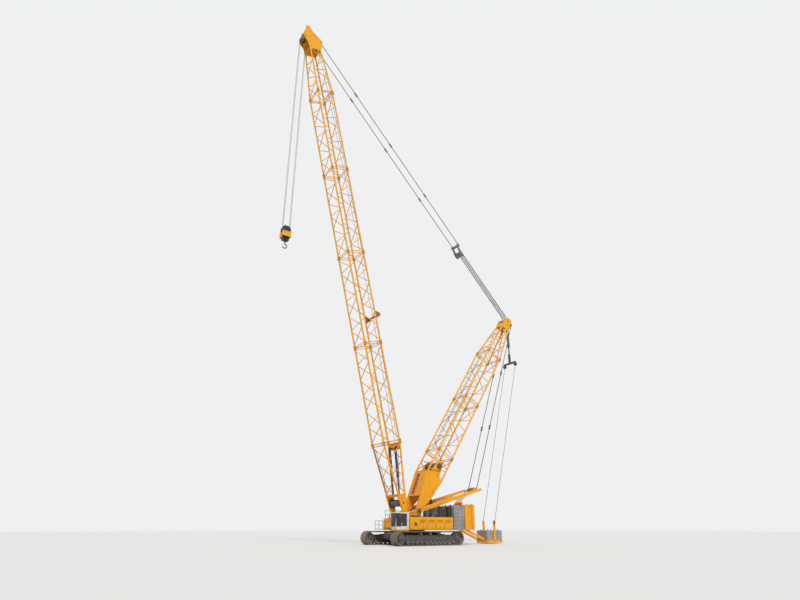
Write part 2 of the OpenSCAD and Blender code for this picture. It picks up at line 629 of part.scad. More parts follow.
module tray_slabs() for (i = [0:2]) {
  box([ballast_x - 660, -520, 200 + i * 210], [ballast_x + 660, 520, 400 + i * 210]);
  box([ballast_x - 640, -500, 400 + i * 210], [ballast_x + 640, 500, 410 + i * 210]);
}

/* Main boom */
drum_u = 760;
module boom_foot() color("#e0ad24") on_boom() {
  both() difference() {
    union() {
      across([0, 0], eye, leg_y - leg_half, leg_y + leg_half);
      plate([[0, -150], [1300, -290], [1300, 290], [0, 150]], leg_y - leg_half, leg_y + leg_half);
    }
    across([0, 0], pin + run, 0, 2000);
    across([drum_u, 0], 60 + run, 0, 2000);
  }
  box([1160, -leg_y + 55, -160], [1290, leg_y - 55, 160]);
  truss(1150, foot_end, [section_width, 430], full, 3, false, true);
  both() bar([foot_end - 330, section_width / 2, 590], [foot_end - 330, -10, 590], 50, 24);
}
module hoist_drum() color("#54585c") on_boom() {
  across([drum_u, 0], 60, -leg_y, leg_y);
  across([drum_u, 0], 180, -leg_y + 160, leg_y - 160);
  both() across([drum_u, 0], 270, leg_y - 165, leg_y - 135);
}
module boom_insert(i) color("#d9a520") on_boom()
  truss(foot_end + i * boom_step, foot_end + (i + 1) * boom_step, full, full, bays);
module boom_insert_1() boom_insert(0);
module boom_insert_2() boom_insert(1);
module boom_insert_3() boom_insert(2);
module boom_insert_4() boom_insert(3);
module boom_head() color("#e0ad24") on_boom() {
  L = boom_length;
  truss(boom_top, L - head_tip, full, head_section, 4, true, false);
  both() difference() {
    plate([[L - 900, -480], [L - 300, -560], [L, -750], [L + 180, -800], [L + 400, -760], [L + 640, -560],
      [L + 1150, -480], [L + 1300, -250], [L + 700, 100], [L + 250, 560], [L, 740], [L - 400, 650], [L - 900, 480]], 420, 480);
    across([L + 1050, -340], jib_pin_r, 400, 500);
  }
  plate([[L - 890, 470], [L - 420, 630], [L - 420, 600], [L - 890, 440]], -430, 430);
  plate([[L + 250, 540], [L + 690, 90], [L + 690, 50], [L + 250, 500]], -430, 430);
  plate([[L + 690, 90], [L + 1280, -250], [L + 1280, -290], [L + 690, 50]], -430, 430);
  across(nose, 55, -490, 490);
  across([L - 100, 640], 40, -490, 490);
  across([L + 900, -330], 45, -430, 430);
}
module boom_sheaves() color("#3a3d40") on_boom() difference() {
  union() {
    across(nose, 90, -412, 412);
    for (y = [-250, -90, 90, 250]) across(nose, sheave_radius, y - 38, y + 38);
  }
  across(nose, 55 + run, -450, 450);
}
guide_u = 13100;
module boom_guide() color("#7a3f22") on_boom() {
  d = section_depth / 2 + chord_radius;
  both() plate([[guide_u - 260, d], [guide_u + 260, d], [guide_u + 90, d + 330], [guide_u - 90, d + 330]],
    section_width / 2 - 30, section_width / 2 + 30);
  across([guide_u, d + 235], 75, -section_width / 2, section_width / 2);
}
module boom_backstops() color("#26324a") on_boom() both() {
  bar([1305, 350, 60], [2500, 350, 207], 50, 48);
  bar([2300, 350, 183], [foot_end - 330, 350, 420], 85, 48);
  box([foot_end - 400, 320, 420], [foot_end - 290, 380, 540]);
}

/* Boom stays: rods from the boom head, a floating block, and rope falls to the mast tip */
stay_y = 365;
stay_top = boom_at([boom_length - 100, 640]);
mast_axle = mast_at([mast_length, -100]);
stay_r = 250 + fall_r + eps;
stay_dist = norm(mast_axle - stay_top);
stay_dir = aim(stay_top, mast_axle) - asin(stay_r / stay_dist);
stay_len = sqrt(stay_dist * stay_dist - stay_r * stay_r);
block_at = 0.75 * stay_len;
rod_pitch = (block_at - 700) / 4;
module on_stays() along(stay_top, stay_dir) children();
module boom_stays() color("#6c7074") {
  stay_rods();
  block_frame();
  fall_set([-260, -68, 124], 60);
}
module stay_rods() on_stays() both() {
  difference() {
    union() {
      across([0, 0], 85, stay_y - 25, stay_y + 25);
      bar([0, stay_y, 0], [block_at - 700, stay_y, 0], stay_radius, 24);
      for (i = [1:3]) box([i * rod_pitch - 170, stay_y - 40, -55], [i * rod_pitch + 170, stay_y + 40, 55]);
      box([block_at - 860, stay_y - 35, -60], [block_at - 580, stay_y + 35, 160]);
    }
    across([0, 0], 40 + run, 0, 500);
  }
}
module block_frame() on_stays() {
  box([block_at - 800, -stay_y + 35, 50], [block_at - 600, stay_y - 35, 150]);
  both() plate([[block_at - 790, 60], [block_at - 790, 140], [block_at - 200, 380], [block_at + 240, 380],
    [block_at + 240, 120], [block_at - 200, 100]], 290, 330);
  across([block_at, 220 + fall_r + eps], 45, -345, 345);
  for (y = [-240, -144, -48, 48, 144, 240]) across([block_at, 220 + fall_r + eps], 220, y - 40, y + 40);
  across([block_at, 220 + fall_r + eps], 100, -295, 295);
}
/* Each set of falls stops short of the mast's sheaves, by more the more of the boom's travel it follows */
module fall_set(ys, short) on_stays() for (y = ys) bar([block_at, y, 0], [stay_len - short, y, 0], fall_r, 24);
module stay_falls_mid() color("#8d9196") fall_set([-220, -28, 164], 80);
module stay_falls_end() color("#8d9196") fall_set([-164, 28, 220], 270);

/* Hoist ropes and hook block, hanging plumb below the head */
nose_w = boom_at(nose);
fall_x = sheave_radius + rope_radius + eps;
block_z = nose_w[1] - drop;
module hoist_ropes() color("#7d8184") for (x = [-fall_x, fall_x], y = [-90, 90])
  translate([nose_w[0] + x, y, block_z]) cylinder(r = rope_radius, h = drop, $fn = 24);
module on_hook() translate([nose_w[0], 0, block_z]) children();
module hook_block() color("#232527") on_hook() {
  for (y = [-90, 90]) across([0, 0], sheave_radius, y - 34, y + 34);
  across([0, 0], 50, -170, 170);
  both() plate([[-300, -120], [300, -120], [300, 120], [160, 300], [-160, 300], [-300, 120]], 134, 160);
  both() box([-300, 134, -580], [300, 160, -110]);
  both() box([-300, 150, -560], [300, 290, -130]);
  box([-220, -160, -760], [220, 160, -570]);
  translate([0, 0, -880]) cylinder(r = 70, h = 120);
}
hook_ring = 150;
hook_r = 46;
module hook() color("#1e1f20") on_hook() translate([0, 0, -880 - hook_ring - 150]) {
  rotate([90, 0, 0]) rotate([0, 0, 90]) rotate_extrude(angle = 275) translate([hook_ring, 0]) circle(r = hook_r);
  bar([0, 0, hook_ring - 10], [0, 0, hook_ring + 150], 55, 48);
  rotate([0, -5, 0]) translate([hook_ring, 0, 0]) sphere(r = hook_r + 4);
}

carbody();
crawler_frames();
track_left();
track_right();
track_wheels();
slewing_frame();
houses();
exhaust_stacks();
walkways();
luffing_drum();
counterweight();
rear_frame();
cab_shell();
cab_glass();
cab_interior();
cab_door();
door_glass();
a_frame();
luffing_falls();
mast_strut_tubes();
mast_strut_rods();
mast_foot();
mast_insert_1();
mast_insert_2();
mast_head();
mast_sheaves();
mast_drum();
mast_stays();
ballast_lines();
boom_foot();
boom_insert_1();
boom_insert_2();
boom_insert_3();
boom_insert_4();
boom_head();
boom_sheaves();
boom_guide();
boom_backstops();
hoist_drum();
boom_stays();
stay_falls_mid();
stay_falls_end();
hoist_ropes();
hook_block();
hook();
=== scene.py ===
# %% [markdown]
# A crawler crane with a lattice boom and a derrick mast, dressed for a studio picture.
# The construction comes in as fixed solids, one for each piece of the crane. This file adds what
# a photograph shows and a solid leaves out: paint that has weathered, laid wire rope, track shoes,
# pins, rails, lamps. Each step first says what the real piece is and why it is made this way.

# %% Load the solids
import json
import math

import bmesh
import bpy
from mathutils import Matrix, Vector


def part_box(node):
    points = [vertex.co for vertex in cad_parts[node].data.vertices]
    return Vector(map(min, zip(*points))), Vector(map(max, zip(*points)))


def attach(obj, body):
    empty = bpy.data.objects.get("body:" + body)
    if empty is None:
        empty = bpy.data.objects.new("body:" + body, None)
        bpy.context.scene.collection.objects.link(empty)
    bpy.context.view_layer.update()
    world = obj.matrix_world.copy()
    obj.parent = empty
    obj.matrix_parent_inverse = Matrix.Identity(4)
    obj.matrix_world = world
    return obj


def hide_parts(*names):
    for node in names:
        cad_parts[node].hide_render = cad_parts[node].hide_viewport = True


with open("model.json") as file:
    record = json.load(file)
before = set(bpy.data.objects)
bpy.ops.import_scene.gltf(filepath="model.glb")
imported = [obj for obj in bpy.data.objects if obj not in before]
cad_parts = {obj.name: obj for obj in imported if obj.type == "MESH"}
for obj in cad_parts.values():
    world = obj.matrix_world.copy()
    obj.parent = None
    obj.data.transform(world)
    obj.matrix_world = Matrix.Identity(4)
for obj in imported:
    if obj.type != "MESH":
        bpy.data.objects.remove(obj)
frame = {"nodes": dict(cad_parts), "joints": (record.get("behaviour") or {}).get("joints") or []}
nodes = frame["nodes"]
joints = {joint["name"]: joint for joint in frame["joints"]}
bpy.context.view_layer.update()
scene = bpy.context.scene

# %% [markdown]
# Boom and mast lean, so a point on them is easiest to say along and across the lattice.
# A matrix for each turns such a local point into a place in the picture. Its angle is worked out
# from two joints of the frame, which keeps the dressing on the steel if the crane is changed.

# %% Places on the leaning pieces
NOSE_AHEAD = 36.2
NOSE_BELOW = 0.68
MAST_AXLE_ALONG = 17.6
MAST_AXLE_BELOW = 0.1


def place(joint):
    return Vector(joints[joint]["pos_m"])


def leaning(pivot, far, ahead, below):
    """Matrix of a lattice from its pivot and one far axle at a known local place."""
    reach = far - pivot
    angle = math.atan2(reach.z, reach.x) + math.atan2(below, ahead)
    along = Vector((math.cos(angle), 0, math.sin(angle)))
    across = Vector((-math.sin(angle), 0, math.cos(angle)))
    turned = Matrix((along, Vector((0, 1, 0)), across)).transposed()
    return Matrix.Translation(pivot) @ turned.to_4x4()


UPRIGHT = Matrix.Identity(4)
boom = leaning(place("boom_luff"), place("boom_sheaves_turn"), NOSE_AHEAD, NOSE_BELOW)
mast = leaning(place("mast_luff"), place("mast_sheaves_turn"), MAST_AXLE_ALONG, MAST_AXLE_BELOW)


def on(matrix, along, side, across):
    """A point given along the lattice, to the side, and across it, as a place in the picture."""
    return matrix @ Vector((along, side, across))


print("boom head at", [round(c, 2) for c in on(boom, NOSE_AHEAD, 0, 0)])

# %% [markdown]
# Every material and every repeated form below is a tree of nodes, so one short helper adds a node,
# fills its sockets and wires it. A value that is a socket becomes a link, a node stands for its
# first output, and any other value is typed into the socket. So a tree reads like a recipe. The
# mix node has several sockets of one name, so those go by their numbers.

# %% Helpers for node trees
def fill(tree, node, sockets):
    """Links or fills the named sockets of a node."""
    for key, value in sockets.items():
        if isinstance(value, bpy.types.Node):
            value = value.outputs[0]
        if isinstance(value, bpy.types.NodeSocket):
            tree.links.new(value, node.inputs[key])
        else:
            node.inputs[key].default_value = value


def put(tree, kind, sockets=None, **settings):
    """Adds a node, applies its settings, and links or fills its sockets."""
    node = tree.nodes.new(kind)
    for key, value in settings.items():
        setattr(node, key, value)
    fill(tree, node, sockets or {})
    return node


def add_sockets(tree, way, kinds):
    """Gives a tree its named inputs or outputs."""
    for label, kind in kinds.items():
        tree.interface.new_socket(label, in_out=way, socket_type="NodeSocket" + kind)


MIX_FACTOR, MIX_A, MIX_B, MIX_RESULT = 0, 6, 7, 2


def mix(tree, factor, a, b):
    """Mixes two colours and returns the mixed colour's socket."""
    node = put(tree, "ShaderNodeMix", {MIX_FACTOR: factor, MIX_A: a, MIX_B: b}, data_type="RGBA")
    return node.outputs[MIX_RESULT]


def calc(tree, how, a, b):
    return put(tree, "ShaderNodeMath", {0: a, 1: b}, operation=how).outputs[0]


def times(tree, a, b):
    return calc(tree, "MULTIPLY", a, b)


def noise(tree, vector, scale, detail=2.0, roughness=0.5):
    """Soft random patches over a vector; the scale is patches per metre."""
    return put(tree, "ShaderNodeTexNoise",
               {"Vector": vector, "Scale": scale, "Detail": detail, "Roughness": roughness})


def steps(tree, value, low, high):
    """Stretches a value so that low becomes 0 and high becomes 1, and clamps it."""
    return put(tree, "ShaderNodeMapRange", {"Value": value, "From Min": low, "From Max": high}).outputs[0]


# %% [markdown]
# Paint on a crane that has stood outdoors is never one colour. Sun fades it in soft patches, rain
# draws grime down it in streaks, dust settles on what faces up, and handling chips it to steel.
# Edges wear first: where the rounded normal leaves the face's own, the chip colour shows through,
# and the rounded normal goes out too, so that no edge looks knife sharp. These effects are one
# node group with its own named inputs, so that yellow steel, grey ballast and the white cab all
# weather the same way, each by its own amount.

# %% Node group for weathered paint
def rgba(colour):
    return (*colour, 1.0)


def weather_group():
    group = bpy.data.node_groups.new("Weathered paint", "ShaderNodeTree")
    amounts = ("Patch scale", "Grime amount", "Chip amount", "Dust amount", "Edge wear", "Edge width", "Roughness")
    add_sockets(group, "INPUT", dict.fromkeys(("Paint", "Faded", "Grime", "Chip"), "Color"))
    add_sockets(group, "INPUT", dict.fromkeys(amounts, "Float"))
    add_sockets(group, "OUTPUT", {"Color": "Color", "Roughness": "Float", "Height": "Float", "Normal": "Vector"})
    given = group.nodes.new("NodeGroupInput").outputs
    spot = group.nodes.new("ShaderNodeTexCoord").outputs
    patches = noise(group, spot["Object"], given["Patch scale"], 4.0)
    colour = mix(group, steps(group, patches, 0.38, 0.68), given["Paint"], given["Faded"])
    rain = put(group, "ShaderNodeMapping", {"Vector": spot["Object"], "Scale": (5.0, 5.0, 0.55)})
    run = steps(group, noise(group, rain, 1.6, 6.0, 0.6), 0.5, 0.74)
    colour = mix(group, times(group, run, given["Grime amount"]), colour, given["Grime"])
    up = put(group, "ShaderNodeSeparateXYZ", {0: spot["Normal"]}).outputs["Z"]
    settled = times(group, steps(group, up, 0.4, 1.0), given["Dust amount"])
    colour = mix(group, settled, colour, rgba((0.33, 0.28, 0.21)))
    grain = noise(group, spot["Object"], 34.0, 5.0, 0.7)
    clusters = noise(group, spot["Object"], 2.3)
    flake = times(group, steps(group, grain, 0.62, 0.66), steps(group, clusters, 0.5, 0.7))
    flake = times(group, flake, given["Chip amount"])
    colour = mix(group, flake, colour, given["Chip"])
    rounded = put(group, "ShaderNodeBevel", {"Radius": given["Edge width"]}, samples=4)
    turn = put(group, "ShaderNodeVectorMath", {0: rounded, 1: spot["Normal"]}, operation="DOT_PRODUCT")
    edge = steps(group, calc(group, "SUBTRACT", 1.0, turn.outputs["Value"]), 0.03, 0.22)
    edge = times(group, edge, steps(group, grain, 0.40, 0.60))
    colour = mix(group, times(group, edge, given["Edge wear"]), colour, given["Chip"])
    rough = calc(group, "ADD", times(group, run, 0.22), given["Roughness"])
    rough = calc(group, "ADD", rough, times(group, settled, 0.3))
    height = calc(group, "SUBTRACT", times(group, grain, 0.25), flake)
    put(group, "NodeGroupOutput", {"Color": colour, "Roughness": rough, "Height": height, "Normal": rounded})
    return group


weather = weather_group()

# %% [markdown]
# A material places the group, hands it its own colours, and keeps the shader itself outside the
# group. Metal and coat are the same all over a surface, so they are set on the shader's sockets.
# The bump is a tenth of a millimetre to a millimetre high, as orange peel and flaking paint are.

# %% Painted materials
def shader_of(name, metallic=0.0, coat=0.0, shine=0.5):
    material = bpy.data.materials.new(name)
    material.use_nodes = True
    shader = material.node_tree.nodes["Principled BSDF"]
    fill(material.node_tree, shader, {"Specular IOR Level": shine, "Metallic": metallic, "Coat Weight": coat})
    return material, material.node_tree, shader


def painted(name, paint, faded, grime=(0.10, 0.075, 0.05), chip=(0.16, 0.08, 0.045), scale=1.2,
            grime_amount=0.35, chip_amount=0.6, dust=0.35, edge=0.45, width=0.008, rough=0.42,
            metallic=0.0, coat=0.0, shine=0.5, bump=0.0006):
    """A weathered finish; the amounts run from 0 to 1, the edge's width and the bump are in metres."""
    material, tree, shader = shader_of(name, metallic, coat, shine)
    values = {"Paint": rgba(paint), "Faded": rgba(faded), "Grime": rgba(grime), "Chip": rgba(chip),
              "Patch scale": scale, "Grime amount": grime_amount, "Chip amount": chip_amount,
              "Dust amount": dust, "Edge wear": edge, "Edge width": width, "Roughness": rough}
    look = put(tree, "ShaderNodeGroup", values, node_tree=weather).outputs
    relief = put(tree, "ShaderNodeBump", {"Height": look["Height"], "Normal": look["Normal"],
                                          "Distance": bump, "Strength": 0.6})
    fill(tree, shader, {"Base Color": look["Color"], "Roughness": look["Roughness"], "Normal": relief})
    return material


YELLOW = (0.84, 0.365, 0.006)
yellow = painted("crane_yellow", YELLOW, (0.82, 0.40, 0.022), grime_amount=0.30, dust=0.14, coat=0.04,
                 shine=0.22)
deep_yellow = painted("plate_yellow", (0.86, 0.33, 0.006), (0.83, 0.37, 0.015), scale=0.8, dust=0.12,
                      coat=0.04, shine=0.22)
white = painted("cab_white", (0.76, 0.77, 0.74), (0.68, 0.68, 0.63), scale=1.5, grime_amount=0.28,
                chip_amount=0.25, rough=0.3, coat=0.35)
ballast = painted("ballast_grey", (0.25, 0.255, 0.26), (0.33, 0.325, 0.315), scale=1.8,
                  grime_amount=0.55, chip_amount=0.9, dust=0.5, rough=0.62, edge=0.7, width=0.014)
black = painted("black_paint", (0.022, 0.022, 0.024), (0.045, 0.044, 0.043), grime_amount=0.25,
                chip_amount=0.4, rough=0.38)
dark = painted("dark_steel", (0.060, 0.058, 0.055), (0.085, 0.08, 0.072), grime=(0.12, 0.085, 0.055),
               chip=(0.21, 0.17, 0.13), scale=2.0, grime_amount=0.6, chip_amount=0.35, dust=0.5, rough=0.55)
blue = painted("blue_paint", (0.030, 0.048, 0.105), (0.05, 0.065, 0.11), rough=0.4)
# Red-brown paint on the boom guide; on the front of the mast foot the same colour is painted shade.
brown = painted("red_brown_paint", (0.26, 0.075, 0.028), (0.30, 0.11, 0.05), rough=0.5)

# %% [markdown]
# The undercarriage lives in mud. Its shoes are bare steel, polished bright where they meet the
# ground and brown in the corners, with dried clay on top. The same group does it, with clay as
# the grime and rust as the chip, at high amounts and with a metallic base.

# %% Bare metals and trim
shoe_steel = painted("track_steel", (0.17, 0.15, 0.125), (0.27, 0.235, 0.19), grime=(0.38, 0.31, 0.22),
                     chip=(0.20, 0.08, 0.035), scale=3.0, grime_amount=0.85, chip_amount=1.0, dust=0.6,
                     rough=0.55, metallic=0.35, bump=0.002, edge=0.35, width=0.006)
bright = painted("bright_steel", (0.42, 0.42, 0.42), (0.34, 0.33, 0.31), grime=(0.10, 0.07, 0.045),
                 scale=4.0, grime_amount=0.35, chip_amount=0.1, dust=0.15, rough=0.32, metallic=0.9)
pin_steel = painted("pin_steel", (0.24, 0.235, 0.225), (0.30, 0.28, 0.25), scale=6.0, grime_amount=0.5,
                    chip_amount=0.3, rough=0.4, metallic=0.7)
pendant = painted("pendant_steel", (0.15, 0.158, 0.165), (0.20, 0.205, 0.21), scale=3.0,
                  grime_amount=0.4, rough=0.45, metallic=0.3)
rubber = painted("seal_rubber", (0.018, 0.018, 0.018), (0.03, 0.03, 0.03), grime_amount=0.2,
                 chip_amount=0.0, rough=0.7)
cloth = painted("seat_cloth", (0.028, 0.03, 0.034), (0.045, 0.047, 0.05), scale=14.0, grime_amount=0.1,
                chip_amount=0.0, dust=0.1, rough=0.85, bump=0.001)
lens = painted("lamp_lens", (0.75, 0.76, 0.74), (0.66, 0.66, 0.62), grime_amount=0.1, chip_amount=0.0,
               rough=0.12, coat=0.8)
amber = painted("amber_lens", (0.85, 0.24, 0.01), (0.75, 0.2, 0.01), grime_amount=0.1, chip_amount=0.0,
                rough=0.15, coat=0.8)

# %% [markdown]
# Wire rope is six strands laid round a core, and grease holds dust in the grooves between them.
# The strands are real geometry further down. The finish only darkens the grooves with a fine
# noise and keeps the crowns half bright.

# %% Rope and glass
def rope_finish():
    material, tree, shader = shader_of("wire_rope", metallic=0.6)
    spot = tree.nodes.new("ShaderNodeTexCoord").outputs["Object"]
    wires = noise(tree, spot, 90.0, 3.0)
    grease = noise(tree, spot, 1.3)
    colour = mix(tree, steps(tree, wires, 0.35, 0.65), rgba((0.09, 0.092, 0.095)), rgba((0.25, 0.255, 0.26)))
    colour = mix(tree, times(tree, grease, 0.5), colour, rgba((0.07, 0.06, 0.05)))
    rough = put(tree, "ShaderNodeMapRange", {"Value": wires, "To Min": 0.35, "To Max": 0.6})
    relief = put(tree, "ShaderNodeBump", {"Height": wires, "Distance": 0.001})
    fill(tree, shader, {"Base Color": colour, "Roughness": rough, "Normal": relief})
    return material


def glass_finish():
    material, tree, shader = shader_of("tinted_glass")
    spot = tree.nodes.new("ShaderNodeTexCoord").outputs["Object"]
    film = noise(tree, spot, 3.5, 5.0)
    colour = mix(tree, steps(tree, film, 0.4, 0.75), rgba((0.045, 0.06, 0.07)), rgba((0.10, 0.105, 0.10)))
    rough = put(tree, "ShaderNodeMapRange", {"Value": film, "To Min": 0.02, "To Max": 0.16})
    fill(tree, shader, {"Base Color": colour, "Roughness": rough, "Transmission Weight": 0.55, "IOR": 1.45})
    return material


rope = rope_finish()
glass = glass_finish()

# %% [markdown]
# Most of the solids are already the right shape, and only need their paint. A table says which
# finish each one gets. The hook block is black with yellow cheeks, so its finish mixes two paints
# by height, between the two edges of the cheek plates.

# %% Paint the solids
CHEEK_LOW = -0.55
CHEEK_HIGH = -0.16


def banded(name, inner, outer, low, high):
    """Paint of one colour between two heights and another above and below."""
    material = painted(name, outer, outer, rough=0.4, chip_amount=0.4)
    tree = material.node_tree
    look = next(n for n in tree.nodes if n.type == "GROUP")
    spot = tree.nodes.new("ShaderNodeTexCoord").outputs["Object"]
    height = put(tree, "ShaderNodeSeparateXYZ", {0: spot}).outputs["Z"]
    inside = times(tree, calc(tree, "GREATER_THAN", height, low), calc(tree, "LESS_THAN", height, high))
    colour = mix(tree, inside, rgba(outer), rgba(inner))
    fill(tree, look, {"Paint": colour, "Faded": colour})
    return material


block_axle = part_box("hoist_ropes")[0].z
block_paint = banded("block_paint", YELLOW, (0.022, 0.022, 0.024), block_axle + CHEEK_LOW,
                     block_axle + CHEEK_HIGH)
finishes = {
    yellow: "mast_insert_1 mast_insert_2 mast_head boom_insert_1 boom_insert_2 boom_insert_3 "
            "boom_insert_4 boom_head a_frame",
    deep_yellow: "slewing_frame houses rear_frame mast_foot boom_foot",
    dark: "carbody crawler_frames walkways ballast_lines mast_drum hoist_drum luffing_drum "
          "mast_strut_tubes",
    shoe_steel: "track_left track_right track_wheels",
    pendant: "mast_stays boom_stays",
    rope: "luffing_falls stay_falls_mid stay_falls_end hoist_ropes",
    black: "exhaust_stacks hook",
    ballast: "counterweight", white: "cab_shell cab_door", glass: "cab_glass door_glass",
    cloth: "cab_interior", pin_steel: "mast_sheaves boom_sheaves", bright: "mast_strut_rods",
    brown: "boom_guide", blue: "boom_backstops", block_paint: "hook_block",
}
for material, names in finishes.items():
    for name in names.split():
        mesh = nodes[name].data
        mesh.materials.clear()
        mesh.materials.append(material)
print("painted solids:", sum(len(names.split()) for names in finishes.values()))

# %% [markdown]
# Dressing pieces are meshes built in code. A keeper gives each one its finish and its body, so it
# moves with the steel it is fastened to. A box, a bar and a turned form, made by three short
# helpers, give most of the shapes.

# %% Helpers for pieces
CREASE = math.radians(38)
SIDES = (-1, 1)
LOWER, UPPER = "undercarriage", "superstructure"


def keep(name, form, material, body, replaced=()):
    """Makes a finished form a piece of the crane that rides on a body."""
    mesh = mesh_of(form) if isinstance(form, bmesh.types.BMesh) else form
    mesh.name = name
    mesh.materials.clear()
    mesh.materials.append(material)
    mesh.shade_smooth()
    mesh.set_sharp_from_angle(angle=CREASE)
    piece = bpy.data.objects.new(name, mesh)
    scene.collection.objects.link(piece)
    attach(piece, body)
    if replaced:
        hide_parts(*replaced)


def mesh_of(form):
    """Turns a bmesh into a mesh with its faces pointing outwards."""
    bmesh.ops.recalc_face_normals(form, faces=form.faces)
    mesh = bpy.data.meshes.new("form")
    form.to_mesh(mesh)
    form.free()
    return mesh


def add_box(form, low, high, matrix=None, edge=0.0):
    """A box between two corners, its edges broken by a small chamfer."""
    low, high = Vector(low), Vector(high)
    made = bmesh.ops.create_cube(form, size=1.0)["verts"]
    for vert in made:
        spot = Vector(low[i] + (vert.co[i] + 0.5) * (high[i] - low[i]) for i in range(3))
        vert.co = matrix @ spot if matrix else spot
    if edge:
        edges = list({e for v in made for e in v.link_edges})
        bmesh.ops.bevel(form, geom=edges, offset=edge, segments=1, affect="EDGES")


def add_tube(form, start, end, radius, sides=16, far_radius=None):
    """A round bar from one point to another, with its ends closed."""
    start, end = Vector(start), Vector(end)
    reach = end - start
    turned = reach.to_track_quat("Z", "Y").to_matrix().to_4x4()
    bmesh.ops.create_cone(form, cap_ends=True, segments=sides, radius1=radius,
                          radius2=radius if far_radius is None else far_radius, depth=reach.length,
                          matrix=Matrix.Translation((start + end) / 2) @ turned)


def add_lathe(form, profile, centre, sides=48):
    """Turns a closed profile of (radius, side) points round the Y axis at a centre."""
    angles = [2 * math.pi * i / sides for i in range(sides)]
    rings = [[form.verts.new(Vector(centre) + Vector((r * math.cos(a), y, r * math.sin(a)))) for r, y in profile]
             for a in angles]
    for first, second in zip(rings, rings[1:] + rings[:1]):
        for k in range(len(profile)):
            after = (k + 1) % len(profile)
            form.faces.new((first[k], first[after], second[after], second[k]))


def lines(segments):
    """A mesh of separate edges, one for each pair of points."""
    mesh = bpy.data.meshes.new("lines")
    points = [tuple(p) for pair in segments for p in pair]
    mesh.from_pydata(points, [(2 * i, 2 * i + 1) for i in range(len(segments))], [])
    return mesh


def spots(heads):
    """A mesh of points from (place, outward) pairs; each carries the way its fitting stands out."""
    mesh = bpy.data.meshes.new("spots")
    mesh.from_pydata([tuple(at) for at, outward in heads], [], [])
    out = mesh.attributes.new("outward", "FLOAT_VECTOR", "POINT")
    for i, (at, outward) in enumerate(heads):
        out.data[i].vector = outward
    return mesh


def ring(centre, radius, count, axis):
    """Heads on a circle round an axis, each facing along it."""
    centre, axis = Vector(centre), Vector(axis).normalized()
    first = axis.orthogonal().normalized()
    second = axis.cross(first)
    angles = [2 * math.pi * (i + 0.5) / count for i in range(count)]
    return [(centre + radius * (math.cos(a) * first + math.sin(a) * second), axis) for a in angles]


def facing(matrix, half, points):
    """Heads that face outwards on both sides, half off the middle; points are (along, across)."""
    return [(on(matrix, along, side * half, across), (0, side, 0)) for side in SIDES for along, across in points]


# %% [markdown]
# What repeats on a crane is grown by Geometry Nodes: rope strands, shoes, pins, bolts, slats and
# the windings on the drums. Each tree has named inputs for its sizes. A short runner sets them on
# a modifier, takes the evaluated result as a plain mesh, and throws the modifier away, because the
# exported model can hold no instances.

# %% Growing meshes from node trees
def growing_tree(name, inputs):
    """A Geometry Nodes tree with named inputs; returns the tree and its input sockets."""
    tree = bpy.data.node_groups.new(name, "GeometryNodeTree")
    add_sockets(tree, "INPUT", {"Geometry": "Geometry", **inputs, "Finish": "Material"})
    add_sockets(tree, "OUTPUT", {"Geometry": "Geometry"})
    return tree, tree.nodes.new("NodeGroupInput").outputs


def close_tree(tree, given, geometry):
    """Ends a tree in Realize Instances and Set Material."""
    real = put(tree, "GeometryNodeRealizeInstances", {"Geometry": geometry})
    dressed = put(tree, "GeometryNodeSetMaterial", {"Geometry": real, "Material": given["Finish"]})
    put(tree, "NodeGroupOutput", {0: dressed})
    return tree


def repeat(tree, given, points, form, turned):
    """Sets a turned form on every point and ends the tree."""
    each = put(tree, "GeometryNodeInstanceOnPoints", {"Points": points, "Instance": form, "Rotation": turned})
    return close_tree(tree, given, each)


def sweep(tree, given, path, profile):
    """Sweeps a closed profile along a path and ends the tree."""
    swept = put(tree, "GeometryNodeCurveToMesh", {"Curve": path, "Profile Curve": profile, "Fill Caps": True})
    return close_tree(tree, given, swept)


def grow(name, tree, base, sizes, material, body, replaced=()):
    """Runs a tree on a base mesh with the given sizes and keeps the plain result."""
    seed = bpy.data.objects.new(name + "_seed", base or bpy.data.meshes.new(name))
    scene.collection.objects.link(seed)
    modifier = seed.modifiers.new("Grow", "NODES")
    modifier.node_group = tree
    values = dict(sizes, Finish=material)
    for item in tree.interface.items_tree:
        if item.in_out == "INPUT" and item.name in values:
            modifier[item.identifier] = values[item.name]
    bpy.context.view_layer.update()
    ready = seed.evaluated_get(bpy.context.evaluated_depsgraph_get())
    mesh = bpy.data.meshes.new_from_object(ready)
    seed.modifiers.clear()
    bpy.data.objects.remove(seed)
    print(name, "faces:", len(mesh.polygons))
    keep(name, mesh, material, body, replaced)


# %% [markdown]
# A wire rope could be a smooth tube with a bump, but then its outline stays straight. Here a star
# with as many rounded points as the rope has strands is swept along each line, and the line is
# twisted by its own length, one full turn for each lay. That gives real strands at the edge too.

# %% Tree for laid rope
def rope_tree():
    tree, given = growing_tree("Laid rope", {"Strands": "Int", "Rope radius": "Float",
                                             "Lay length": "Float", "Ring spacing": "Float"})
    line = put(tree, "GeometryNodeMeshToCurve", {"Mesh": given["Geometry"]})
    rings = put(tree, "GeometryNodeResampleCurve",
                {"Curve": line, "Length": given["Ring spacing"]}, mode="LENGTH")
    run = put(tree, "GeometryNodeSplineParameter").outputs["Length"]
    tilt = times(tree, calc(tree, "DIVIDE", run, given["Lay length"]), 2 * math.pi)
    twisted = put(tree, "GeometryNodeSetCurveTilt", {"Curve": rings, "Tilt": tilt})
    inner = times(tree, given["Rope radius"], 0.8)
    star = put(tree, "GeometryNodeCurveStar", {"Points": given["Strands"], "Inner Radius": inner,
                                               "Outer Radius": given["Rope radius"]})
    return sweep(tree, given, twisted, star)


laid_rope = rope_tree()

# %% [markdown]
# Rails, ladder rungs and rods are round bars on straight lines. One tree sweeps a circle along
# every edge of a mesh of lines, so a ladder is only a list of its edges.

